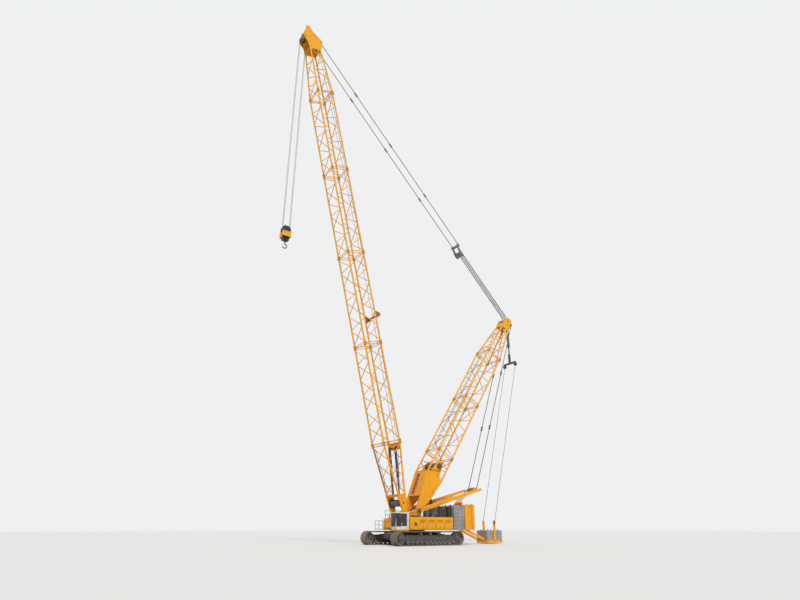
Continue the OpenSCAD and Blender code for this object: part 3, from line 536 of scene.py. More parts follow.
# %% Tree for round bars
def bar_tree():
    tree, given = growing_tree("Round bars", {"Bar radius": "Float", "Sides": "Int"})
    line = put(tree, "GeometryNodeMeshToCurve", {"Mesh": given["Geometry"]})
    circle = put(tree, "GeometryNodeCurvePrimitiveCircle",
                 {"Resolution": given["Sides"], "Radius": given["Bar radius"]})
    return sweep(tree, given, line, circle)


round_bars = bar_tree()

# %% [markdown]
# Bolt heads and joint pins are the same form at several sizes: a washer and a head that stand out
# of a plate. The tree puts one on every point and turns it to the direction stored at that point.
# Six sides make a bolt, sixteen make a pin.

# %% Tree for bolts and pins
def fitting_tree():
    tree, given = growing_tree("Fittings", {"Sides": "Int", "Head radius": "Float", "Head height": "Float",
                                            "Washer radius": "Float", "Washer height": "Float"})
    joined = put(tree, "GeometryNodeJoinGeometry")
    for label, sides in (("Head", given["Sides"]), ("Washer", 16)):
        height = given[label + " height"]
        round_form = put(tree, "GeometryNodeMeshCylinder",
                         {"Radius": given[label + " radius"], "Depth": height, "Vertices": sides})
        lift = put(tree, "ShaderNodeCombineXYZ", {"Z": times(tree, height, 0.5)})
        raised = put(tree, "GeometryNodeTransform", {"Geometry": round_form, "Translation": lift})
        fill(tree, joined, {0: raised})
    outward = put(tree, "GeometryNodeInputNamedAttribute", {"Name": "outward"}, data_type="FLOAT_VECTOR")
    turned = put(tree, "FunctionNodeAlignRotationToVector", {"Vector": outward}, axis="Z")
    return repeat(tree, given, given["Geometry"], joined, turned)


def fitting(sides, head_radius, head_height, washer_radius, washer_height):
    return {"Sides": sides, "Head radius": head_radius, "Head height": head_height,
            "Washer radius": washer_radius, "Washer height": washer_height}


fittings = fitting_tree()
# Sides, then radius and height of the head and of the washer
SMALL_BOLT = fitting(6, 0.009, 0.009, 0.013, 0.002)
BOLT = fitting(6, 0.016, 0.017, 0.024, 0.004)
BIG_BOLT = fitting(6, 0.024, 0.024, 0.034, 0.006)
JOINT_PIN = fitting(16, 0.040, 0.034, 0.056, 0.012)


def fasten(name, heads, size, body, material=pin_steel):
    """Sets one fitting at every head, given as (place, outward)."""
    grow(name, fittings, spots(heads), size, material, body)


# %% [markdown]
# Grilles, gratings and louvres are rows of slats. The tree repeats one slat from a start, by a
# fixed step, as often as asked.

# %% Tree for slats
def slat_tree():
    tree, given = growing_tree("Slats", {"Start": "Vector", "Step": "Vector", "Count": "Int",
                                         "Slat size": "Vector", "Tilt": "Vector"})
    row = put(tree, "GeometryNodeMeshLine",
              {"Count": given["Count"], "Start Location": given["Start"], "Offset": given["Step"]})
    slat = put(tree, "GeometryNodeMeshCube", {"Size": given["Slat size"]})
    turned = put(tree, "FunctionNodeEulerToRotation", {"Euler": given["Tilt"]})
    return repeat(tree, given, row, slat, turned)


slats = slat_tree()


def grow_slats(name, start, step, count, size, material, body, tilt=(0, 0, 0)):
    sizes = {"Start": start, "Step": step, "Count": count, "Slat size": size, "Tilt": tilt}
    grow(name, slats, None, sizes, material, body)


# %% [markdown]
# Rope on a drum is a close helix, one turn beside the next. A spiral with no change of radius gives
# the path, laid along the drum's axle, and a round profile gives the rope.

# %% Tree for drum windings
def winding_tree():
    tree, given = growing_tree("Drum winding", {"Centre": "Vector", "Winding radius": "Float",
                                                "Rope radius": "Float", "Turns": "Float", "Width": "Float"})
    helix = put(tree, "GeometryNodeCurveSpiral",
                {"Resolution": 28, "Rotations": given["Turns"], "Start Radius": given["Winding radius"],
                 "End Radius": given["Winding radius"], "Height": given["Width"]})
    middle = put(tree, "ShaderNodeCombineXYZ", {"Z": times(tree, given["Width"], -0.5)})
    centred = put(tree, "GeometryNodeTransform", {"Geometry": helix, "Translation": middle})
    laid = put(tree, "GeometryNodeTransform", {"Geometry": centred, "Translation": given["Centre"],
                                               "Rotation": (math.pi / 2, 0, 0)})
    circle = put(tree, "GeometryNodeCurvePrimitiveCircle", {"Resolution": 6, "Radius": given["Rope radius"]})
    return sweep(tree, given, laid, circle)


winding = winding_tree()
DRUM_ROPE_RADIUS = 0.014


def wind(name, radius, width):
    """Fills a drum with one layer of rope."""
    sizes = {"Centre": tuple(place(name + "_drum_turn")), "Winding radius": radius + DRUM_ROPE_RADIUS,
             "Rope radius": DRUM_ROPE_RADIUS, "Turns": width / (2 * DRUM_ROPE_RADIUS), "Width": width}
    grow(name + "_winding", winding, None, sizes, rope, name + "_drum")


# %% [markdown]
# A crawler's chain is a loop of equal shoes pinned together. One shoe is modelled in the flat: a
# plate with cut corners, two grousers that bite the ground, two link bars and the pin between them.
# The tree sets copies round a loop of two straights and two half circles, each turned to the loop.

# %% One track shoe
SHOE_DEPTH = 0.07
PLATE_THICKNESS = 0.016
SHOE_PITCH = 0.158
CORNER_CUT = 0.035
GROUSER_HALF = 0.011
LINK_SIDE, LINK_BAR_HALF = 0.15, 0.026
SHOE_PIN_HALF, SHOE_PIN_RADIUS = 0.2, 0.014
SUNK = 0.002
track_low, track_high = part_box("track_left")
track_height = track_high.z - track_low.z
shoe_width = track_high.y - track_low.y
wheel_z = track_low.z + track_height / 2
chain_radius = track_height / 2 - SHOE_DEPTH / 2
wheel_x = (track_high.x - track_low.x) / 2 - track_height / 2


def shoe_form(pitch):
    """A shoe with its length along X, its width along Y, and the ground side up."""
    form = bmesh.new()
    half, side, cut, depth = pitch * 0.47, shoe_width / 2, CORNER_CUT, SHOE_DEPTH / 2
    outline = [(-half + cut, -side), (half - cut, -side), (half, -side + cut), (half, side - cut),
               (half - cut, side), (-half + cut, side), (-half, side - cut), (-half, -side + cut)]
    base = form.faces.new([form.verts.new((x, y, 0.0)) for x, y in outline])
    risen = bmesh.ops.extrude_face_region(form, geom=[base])["geom"]
    for vert in (g for g in risen if isinstance(g, bmesh.types.BMVert)):
        vert.co.z += PLATE_THICKNESS
    for x in (-0.45 * half, 0.55 * half):
        add_box(form, (x - GROUSER_HALF, -side * 0.96, PLATE_THICKNESS - SUNK),
                (x + GROUSER_HALF, side * 0.96, depth))
    for y in (-LINK_SIDE, LINK_SIDE):
        add_box(form, (-half * 1.1, y - LINK_BAR_HALF, -depth), (half * 0.75, y + LINK_BAR_HALF, SUNK))
        add_box(form, (half * 0.7, y - 0.05, -depth + 0.006), (half * 1.2, y - 0.028, -0.006))
    add_tube(form, (half, -SHOE_PIN_HALF, -depth / 2), (half, SHOE_PIN_HALF, -depth / 2), SHOE_PIN_RADIUS, 8)
    return mesh_of(form)


# %% Tree for the chain of shoes
def chain_tree():
    tree, given = growing_tree("Shoe chain", {"Shoes": "Int", "Shoe": "Object"})
    loop = put(tree, "GeometryNodeMeshToCurve", {"Mesh": given["Geometry"]})
    even = put(tree, "GeometryNodeResampleCurve", {"Curve": loop, "Count": given["Shoes"]})
    heading = put(tree, "GeometryNodeInputTangent")
    turned = put(tree, "FunctionNodeAlignRotationToVector", {"Vector": heading}, axis="X", pivot_axis="Y")
    model = put(tree, "GeometryNodeObjectInfo", {"Object": given["Shoe"], "As Instance": True})
    return repeat(tree, given, even, model.outputs["Geometry"], turned)


ARC_STEPS = 24


def chain_loop(side):
    """The closed line that the shoes follow, as edges: two straights and two half circles."""
    points = []
    for end in (1, -1):
        for i in range(ARC_STEPS + 1):
            angle = end * math.pi / 2 - math.pi * i / ARC_STEPS
            points.append((end * wheel_x + chain_radius * math.cos(angle), side,
                           wheel_z + chain_radius * math.sin(angle)))
    mesh = bpy.data.meshes.new("chain_loop")
    mesh.from_pydata(points, [(i, (i + 1) % len(points)) for i in range(len(points))], [])
    return mesh


loop_length = 4 * wheel_x + 2 * math.pi * chain_radius
shoe_count = round(loop_length / SHOE_PITCH)
shoe = bpy.data.objects.new("shoe", shoe_form(loop_length / shoe_count))
scene.collection.objects.link(shoe)
shoe_chain = chain_tree()
for name in ("left", "right"):
    low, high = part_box("track_" + name)
    grow("shoes_" + name, shoe_chain, chain_loop((low.y + high.y) / 2), {"Shoes": shoe_count, "Shoe": shoe},
         shoe_steel, LOWER, ("track_" + name,))
bpy.data.objects.remove(shoe)
print("shoes in a chain:", shoe_count)

# %% [markdown]
# The wheels show between the shoes. Each drive has a domed cover with a ring of bolts, each roller
# a small cap, and the frames between them are stiffened by ribs and closed by round covers. The
# slewing ring is bolted all round. Covers are turned from a profile of (radius, height) points.

# %% Covers, ribs and bolt rings of the undercarriage
ROLLER_COUNT, ROLLER_Z, ROLLER_RADIUS, FIRST_ROLLER = 11, 0.165, 0.095, 0.45
TOP_ROLLERS = [(x, 0.67, 0.07) for x in (-0.7, 0.0, 0.7)]
RIB_PLACES = (-1.36, -0.9, -0.34, 0.34, 0.9, 1.36)
RIB_HALF, RIB_PROUD, RIB_HEIGHTS = 0.012, 0.016, (0.29, 0.575)
FLANGE_END, FLANGE_HEIGHTS = 1.42, ((0.572, 0.592), (0.276, 0.294))
COVER_PLACES = (-0.62, 0.62)
COVER_Z, COVER_RADIUS, COVER_PROUD = 0.43, 0.095, 0.014
HUB_FACE, HUB_RIM = 0.19, 0.035
RING_BOLT_RADIUS, RING_BOLT_DROP = 0.775, 0.07
HUB_COVER = [(0.001, 0.0), (0.19, 0.0), (0.19, HUB_RIM), (0.13, 0.06), (0.12, 0.085), (0.05, 0.1), (0.001, 0.1)]
gauge_half = (track_low.y + track_high.y) / 2
roller_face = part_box("track_wheels")[1].y
frame_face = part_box("crawler_frames")[1].y
roller_span = 2 * (wheel_x - FIRST_ROLLER)
rollers = [(-wheel_x + FIRST_ROLLER + i * roller_span / (ROLLER_COUNT - 1), ROLLER_Z, ROLLER_RADIUS)
           for i in range(ROLLER_COUNT)] + TOP_ROLLERS
hub_form, cap_form, rib_form = bmesh.new(), bmesh.new(), bmesh.new()
hub_heads, cap_heads, cover_heads = [], [], []
for side in SIDES:
    out = (0, side, 0)
    for end in SIDES:
        face = side * (gauge_half + HUB_FACE)
        add_lathe(hub_form, [(r, side * y) for r, y in HUB_COVER], (end * wheel_x, face, wheel_z), 40)
        hub_heads += ring((end * wheel_x, face + side * HUB_RIM, wheel_z), 0.16, 14, out)
    for x, z, radius in rollers:
        face = side * roller_face
        cap = [(0.001, 0.0), (radius * 0.86, 0.0), (radius * 0.78, 0.008), (radius * 0.45, 0.010),
               (radius * 0.40, 0.022), (0.001, 0.022)]
        add_lathe(cap_form, [(r, side * y) for r, y in cap], (x, face, z), 28)
        cap_heads += ring((x, face + side * 0.008, z), radius * 0.62, 6, out)
    face = side * frame_face
    low, high = sorted((face, face + side * RIB_PROUD))
    spans = [(x - RIB_HALF, x + RIB_HALF, RIB_HEIGHTS) for x in RIB_PLACES]
    spans += [(-FLANGE_END, FLANGE_END, heights) for heights in FLANGE_HEIGHTS]
    for start, end, (bottom, top) in spans:
        add_box(rib_form, (start, low, bottom), (end, high, top), edge=0.003)
    for x in COVER_PLACES:
        proud = (x, face + side * COVER_PROUD, COVER_Z)
        add_tube(rib_form, (x, face, COVER_Z), proud, COVER_RADIUS, 36)
        cover_heads += ring(proud, 0.074, 10, out)
keep("hub_covers", hub_form, dark, LOWER)
fasten("hub_bolts", hub_heads, BOLT, LOWER)
keep("roller_caps", cap_form, dark, LOWER)
fasten("roller_bolts", cap_heads, SMALL_BOLT, LOWER)
keep("frame_ribs", rib_form, dark, LOWER)
fasten("frame_cover_bolts", cover_heads, SMALL_BOLT, LOWER)
ring_heads = ring((0, 0, place("slew").z - RING_BOLT_DROP), RING_BOLT_RADIUS, 60, (0, 0, -1))
fasten("slewing_bolts", ring_heads, BOLT, LOWER)

# %% [markdown]
# The ropes of the crane are straight, so each is one edge between the two ends of its solid. The
# ends are read off the solid's box where it hangs plumb, and off the joints' axes where it leans.
# Laid rope replaces the plain bars of the falls, strand by strand.

# %% Ropes of the falls and the hoist
ROPE_RADIUS = 0.0145
FALL_SIDES = {"mid": (-0.220, -0.028, 0.164), "end": (-0.164, 0.028, 0.220)}
FIXED_SIDES = (-0.260, -0.068, 0.124)
LUFF_SIDES = (-0.26, -0.18, -0.04, 0.04, 0.18, 0.26)


def lay(name, segments, body, replaced=(), radius=ROPE_RADIUS, spacing=0.04):
    """Lays one rope along every segment."""
    sizes = {"Strands": 6, "Rope radius": radius, "Lay length": 0.24, "Ring spacing": spacing}
    grow(name, laid_rope, lines(segments), sizes, rope, body, replaced)


def leaning_lines(name, sides, axis):
    """One line for each rope of a leaning fall, along its solid's box."""
    low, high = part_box(name)
    upper = Vector((high.x if axis.x * axis.z > 0 else low.x, 0, high.z))
    middle = Vector(((low.x + high.x) / 2, 0, (low.z + high.z) / 2))
    half = axis * abs((upper - middle).dot(axis.normalized()))
    return [(middle - half + Vector((0, y, 0)), middle + half + Vector((0, y, 0))) for y in sides]


stay_axis = Vector(joints["falls_end_slide"]["axis"])
for which, sides in FALL_SIDES.items():
    solid = "stay_falls_" + which
    lay("rope_" + solid, leaning_lines(solid, sides, stay_axis), "falls_" + which, (solid,))
lay("rope_stay_falls_fixed", leaning_lines("stay_falls_mid", FIXED_SIDES, stay_axis), "boom_stays", radius=0.0156)
low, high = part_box("luffing_falls")
fall_angle = math.atan2(low.z - high.z, high.x - low.x)
luff_axis = Vector((math.cos(fall_angle), 0, math.sin(fall_angle)))
lay("rope_luffing", leaning_lines("luffing_falls", LUFF_SIDES, luff_axis), "luffing_falls", ("luffing_falls",))
low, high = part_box("hoist_ropes")
hoist = [(Vector((x, y, low.z)), Vector((x, y, high.z))) for x in (low.x + ROPE_RADIUS, high.x - ROPE_RADIUS)
         for y in (low.y + ROPE_RADIUS, high.y - ROPE_RADIUS)]
lay("rope_hoist", hoist, "hook", ("hoist_ropes",))

# %% [markdown]
# A sheave is a turned wheel: hub, thin web, and a rim with a groove that fits the rope. A lathe
# turns its half section round the axle. Sheaves on one axle are one mesh.

# %% Sheaves and drums
GROOVE_DEPTH = 0.022
DRUMS = (("hoist", 0.180, 1.03), ("mast", 0.190, 1.05), ("luffing", 0.200, 0.90))


def sheave_section(radius, hub, bore, half, side):
    """Half section of one sheave, as (radius, side) points round a closed loop."""
    groove = radius - GROOVE_DEPTH
    near = [(bore, -half), (hub, -half), (hub, -0.012), (radius * 0.8, -0.012), (radius * 0.84, -half),
            (radius, -half), (radius, -half * 0.72), (groove, -half * 0.25)]
    return [(r, side + y) for r, y in near + [(r, -y) for r, y in reversed(near)]]


def sheave_set(name, body, radius, hub, bore, half, sides):
    form = bmesh.new()
    for side in sides:
        add_lathe(form, sheave_section(radius, hub, bore, half, side), place(body + "_turn"), 56)
    keep(name, form, pin_steel, body, (body,))


sheave_set("head_sheaves", "boom_sheaves", radius=0.23, hub=0.09, bore=0.056, half=0.038,
           sides=(-0.25, -0.09, 0.09, 0.25))
sheave_set("mast_tip_sheaves", "mast_sheaves", radius=0.25, hub=0.11, bore=0.051, half=0.040,
           sides=(-0.24, -0.144, -0.048, 0.048, 0.144, 0.24))
for name, radius, width in DRUMS:
    wind(name, radius, width)

# %% [markdown]
# Boom and mast are built from sections that are pinned together at their four corners. Each pin has
# a head on one side and a keeper on the other. The corners of every joint are computed from the
# section's size, and the fitting tree puts heads there, facing both ways.

# %% Pins at the section joints
SECTION_HALF_WIDTH = 0.70
SECTION_HALF_DEPTH = 0.625
LUG_HALF = 0.072
PIN_STEP = 0.07
BOOM_JOINTS = [4.5 + 6.625 * i for i in range(5)]
MAST_JOINTS = [4.3, 8.975, 13.65]
for body, matrix, stations in (("boom", boom, BOOM_JOINTS), ("mast", mast, MAST_JOINTS)):
    corners = [(station + step, side, depth) for station in stations for step in (-PIN_STEP, PIN_STEP)
               for side in SIDES for depth in SIDES]
    heads = [(on(matrix, along, side * SECTION_HALF_WIDTH + face * LUG_HALF, depth * SECTION_HALF_DEPTH), (0, face, 0))
             for along, side, depth in corners for face in SIDES]
    fasten(body + "_joint_pins", heads, JOINT_PIN, body)

# %% [markdown]
# Two hoist lines run up the back of the boom from the drum in its foot, over the brown guide, to the
# head. They are rigging beyond the main stays, so they are made here. Each leg is a straight line
# along the boom's own directions, one for each drum end.

# %% Lines along the boom and the mast
BACK = 0.80
LINE_SIDE = 0.16
LINE_PATH = [(0.92, 0.16), (4.4, BACK), (13.1, 0.955), (31.4, BACK), (35.6, 0.66)]
ROLLER_STATIONS = (4.4, 31.4)
LINE_ROLLER_DROP = 0.074
POST_SIDES = (-0.62, 0.62)
runs = []
for side in (-LINE_SIDE, LINE_SIDE):
    points = [on(boom, along, side, across) for along, across in LINE_PATH]
    runs += list(zip(points, points[1:]))
lay("boom_hoist_lines", runs, "boom", spacing=0.06)
guides = bmesh.new()
for station in ROLLER_STATIONS:
    for side in (-LINE_SIDE, LINE_SIDE):
        centre = on(boom, station, side, BACK - LINE_ROLLER_DROP)
        add_tube(guides, centre - Vector((0, 0.04, 0)), centre + Vector((0, 0.04, 0)), 0.06, 24)
    ends = [on(boom, station, side, BACK - LINE_ROLLER_DROP) for side in POST_SIDES]
    add_tube(guides, *ends, 0.024, 12)
    for side in POST_SIDES:
        add_tube(guides, on(boom, station, side, 0.60), on(boom, station, side, BACK - 0.05), 0.028, 12)
keep("boom_line_rollers", guides, pin_steel, "boom")
mast_runs = [(on(mast, 3.5, side, -0.18), on(mast, 17.4, side * 0.6, -0.36)) for side in (-0.2, 0.2)]
lay("mast_lines", mast_runs, "mast", spacing=0.06)

# %% [markdown]
# Fitters climb the mast and the boom foot on welded ladders. A ladder is two rails and its
# rungs, all edges of one mesh of lines, and the bar tree gives them their thickness.

# %% Ladders
RUNG_PITCH = 0.15


def ladder(name, matrix, start, end, half_width, body):
    """A ladder between two local points (along, side, across), with its rungs set sideways."""
    start, end = Vector(start), Vector(end)

    def at(share, offset):
        along, side, across = start.lerp(end, share)
        return on(matrix, along, side + offset, across)
    segments = [(at(0, offset), at(1, offset)) for offset in (-half_width, half_width)]
    rungs = int((end - start).length / RUNG_PITCH)
    shares = [(i + 0.5) / rungs for i in range(rungs)]
    segments += [(at(share, -half_width), at(share, half_width)) for share in shares]
    grow(name, round_bars, lines(segments), {"Bar radius": 0.011, "Sides": 8}, dark, body)


ladder("mast_ladder", mast, (4.4, 0, -0.66), (13.4, 0, -0.66), 0.13, "mast")
ladder("boom_ladder", boom, (1.5, -0.45, -0.33), (4.3, -0.45, -0.66), 0.12, "boom")

# %% [markdown]
# The heads end in thick cheeks with the sheaves between them, held by capped axles and bolts. On
# top of the boom stands a thin rod with a grey light and a wind meter, as high cranes carry.

# %% Trim of the boom head and the mast head
ROD_FOOT = (36.30, -0.45, 0.50)
HEAD_CHEEK = 0.48
STAY_LOCAL = (35.9, 0.64)
HEAD_BOLTS = ((35.35, 0.4), (35.35, 0.0), (35.35, -0.4), (36.2, -0.3), (36.45, 0.1), (36.8, -0.1),
              (36.2, 0.35), (35.75, 0.5), (35.75, -0.45))
MAST_CHEEK = 0.378
MAST_BOLT_LINE = 17.0
foot = on(boom, *ROD_FOOT)
top = foot + Vector((0, 0, 0.80))
cup_centre = top + Vector((0.13, 0, -0.06))
tip = bmesh.new()
add_tube(tip, foot, top, 0.014, 12)
add_tube(tip, top - Vector((0.13, 0, 0.1)), top + Vector((0.13, 0, -0.1)), 0.009, 8)
for angle in (0, 2.094, 4.189):
    arm = Vector((math.cos(angle), math.sin(angle), 0)) * 0.07
    add_tube(tip, cup_centre, cup_centre + arm, 0.005, 8)
    add_tube(tip, cup_centre + arm, cup_centre + arm * 1.4, 0.022, 12, 0.006)
keep("wind_meter", tip, dark, "boom")
lamp = bmesh.new()
add_tube(lamp, top - Vector((0, 0, 0.02)), top + Vector((0, 0, 0.07)), 0.05, 24, 0.036)
keep("aircraft_light", lamp, lens, "boom")
fasten("head_bolts", facing(boom, HEAD_CHEEK, HEAD_BOLTS), BIG_BOLT, "boom")


def add_cap(form, matrix, along, across, face, outer, inner, outer_sides=32, inner_sides=24):
    """A stepped cap on an axle; outer and inner are (radius, from, to) out of the cheek's face."""
    for side in SIDES:
        for (radius, start, end), sides in ((outer, outer_sides), (inner, inner_sides)):
            add_tube(form, on(matrix, along, side * (face + start), across),
                     on(matrix, along, side * (face + end), across), radius, sides)


caps, mast_caps = bmesh.new(), bmesh.new()
for (along, across), radius in (((NOSE_AHEAD, -NOSE_BELOW), 0.10), (STAY_LOCAL, 0.075)):
    add_cap(caps, boom, along, across, HEAD_CHEEK, (radius, -0.001, 0.025), (radius * 0.6, 0.02, 0.045))
keep("head_pin_caps", caps, deep_yellow, "boom")
AXLE = (MAST_AXLE_ALONG, -MAST_AXLE_BELOW)
add_cap(mast_caps, mast, *AXLE, MAST_CHEEK, (0.095, -0.003, 0.018), (0.05, 0.014, 0.034))
keep("mast_pin_caps", mast_caps, deep_yellow, "mast")
heads = []
for side in SIDES:
    heads += ring(on(mast, AXLE[0], side * (MAST_CHEEK + 0.018), AXLE[1]), 0.074, 8, (0, side, 0))
    heads += [(on(mast, MAST_BOLT_LINE, side * MAST_CHEEK, across), (0, side, 0)) for across in (-0.16, 0.0, 0.16)]
fasten("mast_head_bolts", heads, SMALL_BOLT, "mast")

# %% [markdown]
# Pins hold the stay rods end to end in short link boxes. Their heads come from the same fitting
# tree, placed along each stay. The feet of boom and mast turn on thick pins with stepped caps.

# %% Pins of the stays and the main pivots
LINK_HALF = 0.11
MAST_STAY_SIDE = 0.48
BOOM_STAY_SIDE = 0.405


def stay_pins(name, joints_along, run, half_width, body):
    """Two pin heads on each side of every link box of a pair of stays."""
    heads = [(centre + run * step + Vector((0, side * half_width, 0)), (0, side, 0))
             for centre in joints_along for side in SIDES for step in (-LINK_HALF, LINK_HALF)]
    fasten(name, heads, BIG_BOLT, body)


mast_tip = on(mast, 17.45, 0, 0.34)
frame_tip = place("luffing_falls_swing")
stay_pins("mast_stay_pins", [mast_tip.lerp(frame_tip, share) for share in (0.33, 0.66)],
          (frame_tip - mast_tip).normalized(), MAST_STAY_SIDE, "mast")
stay_top = place("stays_swing")
falls_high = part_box("stay_falls_mid")[1]
rod_length = (Vector((falls_high.x, 0, falls_high.z)) - stay_top).length - 0.7
stay_pins("boom_stay_pins", [stay_top + stay_axis * (rod_length * i / 4) for i in range(1, 4)],
          stay_axis, BOOM_STAY_SIDE, "boom_stays")
pivots = bmesh.new()
for joint, reach in (("boom_luff", 0.826), ("mast_luff", 0.945)):
    add_cap(pivots, Matrix.Translation(place(joint)), 0, 0, reach, (0.115, -0.02, 0.0), (0.06, -0.002, 0.02), 40, 32)
keep("pivot_caps", pivots, dark, UPPER)

# %% [markdown]
# The houses are boxes of sheet metal, so what makes them real is what is fastened to them: door
# leaves with hinges and handles, louvres that let the engine breathe, and a round air intake.

# %% House doors, louvres and handles
house_low, house_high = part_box("houses")
OUTER, HOUSE_FLOOR = house_high.y, house_low.z
DOOR_PROUD, GRIP_PROUD = 0.014, 0.03
GRIP_HEIGHTS = (1.16, 1.26)
LEAF_ENDS = ((-2.06, -1.46), (-1.40, -0.80), (-0.74, -0.14), (-0.08, 0.52), (0.92, 1.10))
LEAF_TOPS = ((1, 1.53, "left"), (-1, 1.47, "right"))
LOUVRE_Z = 1.30
INTAKE_X, INTAKE_Z = 0.72, 1.20
leaves, fixtures, intake = bmesh.new(), bmesh.new(), bmesh.new()
for side, top, label in LEAF_TOPS:
    proud, grip = side * (OUTER + DOOR_PROUD), side * (OUTER + GRIP_PROUD)
    for start, end in LEAF_ENDS:
        low, high = sorted((side * OUTER, side * (OUTER + 0.012)))
        add_box(leaves, (start, low, HOUSE_FLOOR + 0.06), (end, high, top), edge=0.004)
        x = end - 0.05
        for z in GRIP_HEIGHTS:
            add_tube(fixtures, (x, proud, z), (x, grip, z), 0.008, 10)
        add_tube(fixtures, (x, grip, 1.15), (x, grip, 1.27), 0.007, 10)
        for z in (HOUSE_FLOOR + 0.14, top - 0.10):
            add_tube(fixtures, (start + 0.004, proud, z - 0.03), (start + 0.004, proud, z + 0.03), 0.010, 12)
keep("house_doors", leaves, yellow, UPPER)
keep("house_handles", fixtures, pin_steel, UPPER)
for side, top, label in LEAF_TOPS:
    for i, (start, end) in enumerate(LEAF_ENDS[:4]):
        grow_slats("louvres_%s_%d" % (label, i + 1), ((start + end) / 2, side * (OUTER + 0.016), LOUVRE_Z),
                   (0, 0, 0.030), 6, (end - start - 0.14, 0.022, 0.004), deep_yellow, UPPER,
                   (side * 0.6, 0, 0))
for low, high, radius, sides in ((0.0, 0.022, 0.085, 36), (0.02, 0.034, 0.060, 32)):
    add_tube(intake, (INTAKE_X, OUTER + low, INTAKE_Z), (INTAKE_X, OUTER + high, INTAKE_Z), radius, sides)
keep("air_intake", intake, dark, UPPER)

# %% [markdown]
# Engine boxes breathe through rows of slats, and the silencer stands under a thin rain hood. The
# rear frame carries bolted side plates, where slabs hang on it, and eyes to lift it by.

# %% Exhaust grilles and rear frame plates
stack_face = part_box("exhaust_stacks")[1].y
rear_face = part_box("rear_frame")[1].y
rear_proud = rear_face + 0.012
GRILLE_FOOT, GRILLE_STEP = 1.70, 0.034
# Name, middle, face, count and length of the slats
GRILLES = (("silencer_grille", -1.435, stack_face, 11, 0.33), ("cooler_grille", -2.015, stack_face - 0.04, 14, 0.17))
HOODS = (((-1.67, 1.10, 2.13), (-1.20, 1.44, 2.142)), ((-2.16, 1.12, 2.24), (-1.87, 1.40, 2.252)))
FILTER_PLACES = (0.36, 0.70)
# Rear end, front end, foot and top of a plate, then place, foot and pitch of a row of bolts
REAR_PLATES = ((-3.445, -3.165, 0.98, 2.26), (-3.915, -3.745, 0.92, 2.34))
REAR_BOLTS = ((-3.42, 1.02, 0.15), (-3.19, 1.02, 0.15), (-3.83, 1.0, 0.158))
REAR_EYES = ((-3.31, 1.0, 2.37), (-3.31, 1.42, 2.37), (-3.83, 1.0, 2.40), (-3.83, 1.42, 2.40))
for name, middle, face, count, length in GRILLES:
    grow_slats(name, (middle, face + 0.006, GRILLE_FOOT), (0, 0, GRILLE_STEP), count, (length, 0.018, 0.004),
               dark, UPPER, (0.6, 0, 0))
hoods = bmesh.new()
for low, high in HOODS:
    add_box(hoods, low, high, edge=0.003)
for x in FILTER_PLACES:
    add_box(hoods, (x - 0.03, stack_face, 1.625), (x + 0.03, stack_face + 0.008, 1.685), edge=0.002)
keep("exhaust_hoods", hoods, dark, UPPER)


def add_lug(form, x, y, foot, top, half_length, eye_z, eye_radius, eye_half):
    """An upright lug with a round boss at its eye."""
    add_box(form, (x - half_length, y - 0.012, foot), (x + half_length, y + 0.012, top), edge=0.003)
    add_tube(form, (x, y - eye_half, eye_z), (x, y + eye_half, eye_z), eye_radius, 20)


plates = bmesh.new()
for side in SIDES:
    low, high = sorted((side * rear_face, side * rear_proud))
    for start, end, foot, top in REAR_PLATES:
        add_box(plates, (start, low, foot), (end, high, top), edge=0.003)
    for x, y, top in REAR_EYES:
        add_lug(plates, x, side * y, top - 0.004, top + 0.05, 0.04, top + 0.045, 0.026, 0.018)
keep("rear_plates", plates, deep_yellow, UPPER)
heads = [(x, foot + i * step) for x, foot, step in REAR_BOLTS for i in range(9)]
fasten("rear_plate_bolts", facing(UPRIGHT, rear_proud, heads), BOLT, UPPER, deep_yellow)

# %% [markdown]
# Fitters walk along the roofs of the houses, so these carry open steel grating inside a frame of
# angles. The bars come from the tree of slats, flat on the roof and set close.

# %% Gratings on the roofs
GRATE_PITCH = 0.03
GRATE_SIDE, GRATE_HALF, GRATE_ANGLE = 1.23, 0.225, 0.005
# Name, side, roof, rear end and front end
GRATINGS = (("grating_left", GRATE_SIDE, house_high.z, -1.05, 0.24), ("grating_right", -GRATE_SIDE, 1.55, -2.0, 1.0))
frames = bmesh.new()
for name, y, roof, start, end in GRATINGS:
    grow_slats(name, (start + GRATE_PITCH / 2, y, roof + 0.010), (GRATE_PITCH, 0, 0),
               int((end - start) / GRATE_PITCH), (0.005, 0.44, 0.014), dark, UPPER)
    for edge_y in (y - GRATE_HALF, y, y + GRATE_HALF):
        add_box(frames, (start, edge_y - GRATE_ANGLE, roof), (end, edge_y + GRATE_ANGLE, roof + 0.02))
    for edge_x in (start, end):
        add_box(frames, (edge_x - GRATE_ANGLE, y - 0.23, roof), (edge_x + GRATE_ANGLE, y + 0.23, roof + 0.02))
keep("grating_frames", frames, dark, UPPER)

# %% [markdown]
# The cab has a frame round each pane, a wiper, mirrors on thin arms, grab rails, work lights and a
# beacon. All of these are small tubes and boxes, placed from the box of the cab itself.

# %% Cab fittings
cab_low, cab_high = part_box("cab_shell")
front_x, floor_z, roof_z = cab_high.x, cab_low.z, cab_high.z
mid_y = (cab_low.y + cab_high.y) / 2
WIPER_SIDE, WIPER_FOOT = -0.14, 0.22
MIRROR_OUT, MIRROR_AHEAD, MIRROR_ARM_RADIUS = 0.10, 0.04, 0.007


def cab(ahead, side, above):
    """A place measured from the front of the cab, its middle and its floor."""
    return (front_x + ahead, mid_y + side, floor_z + above)


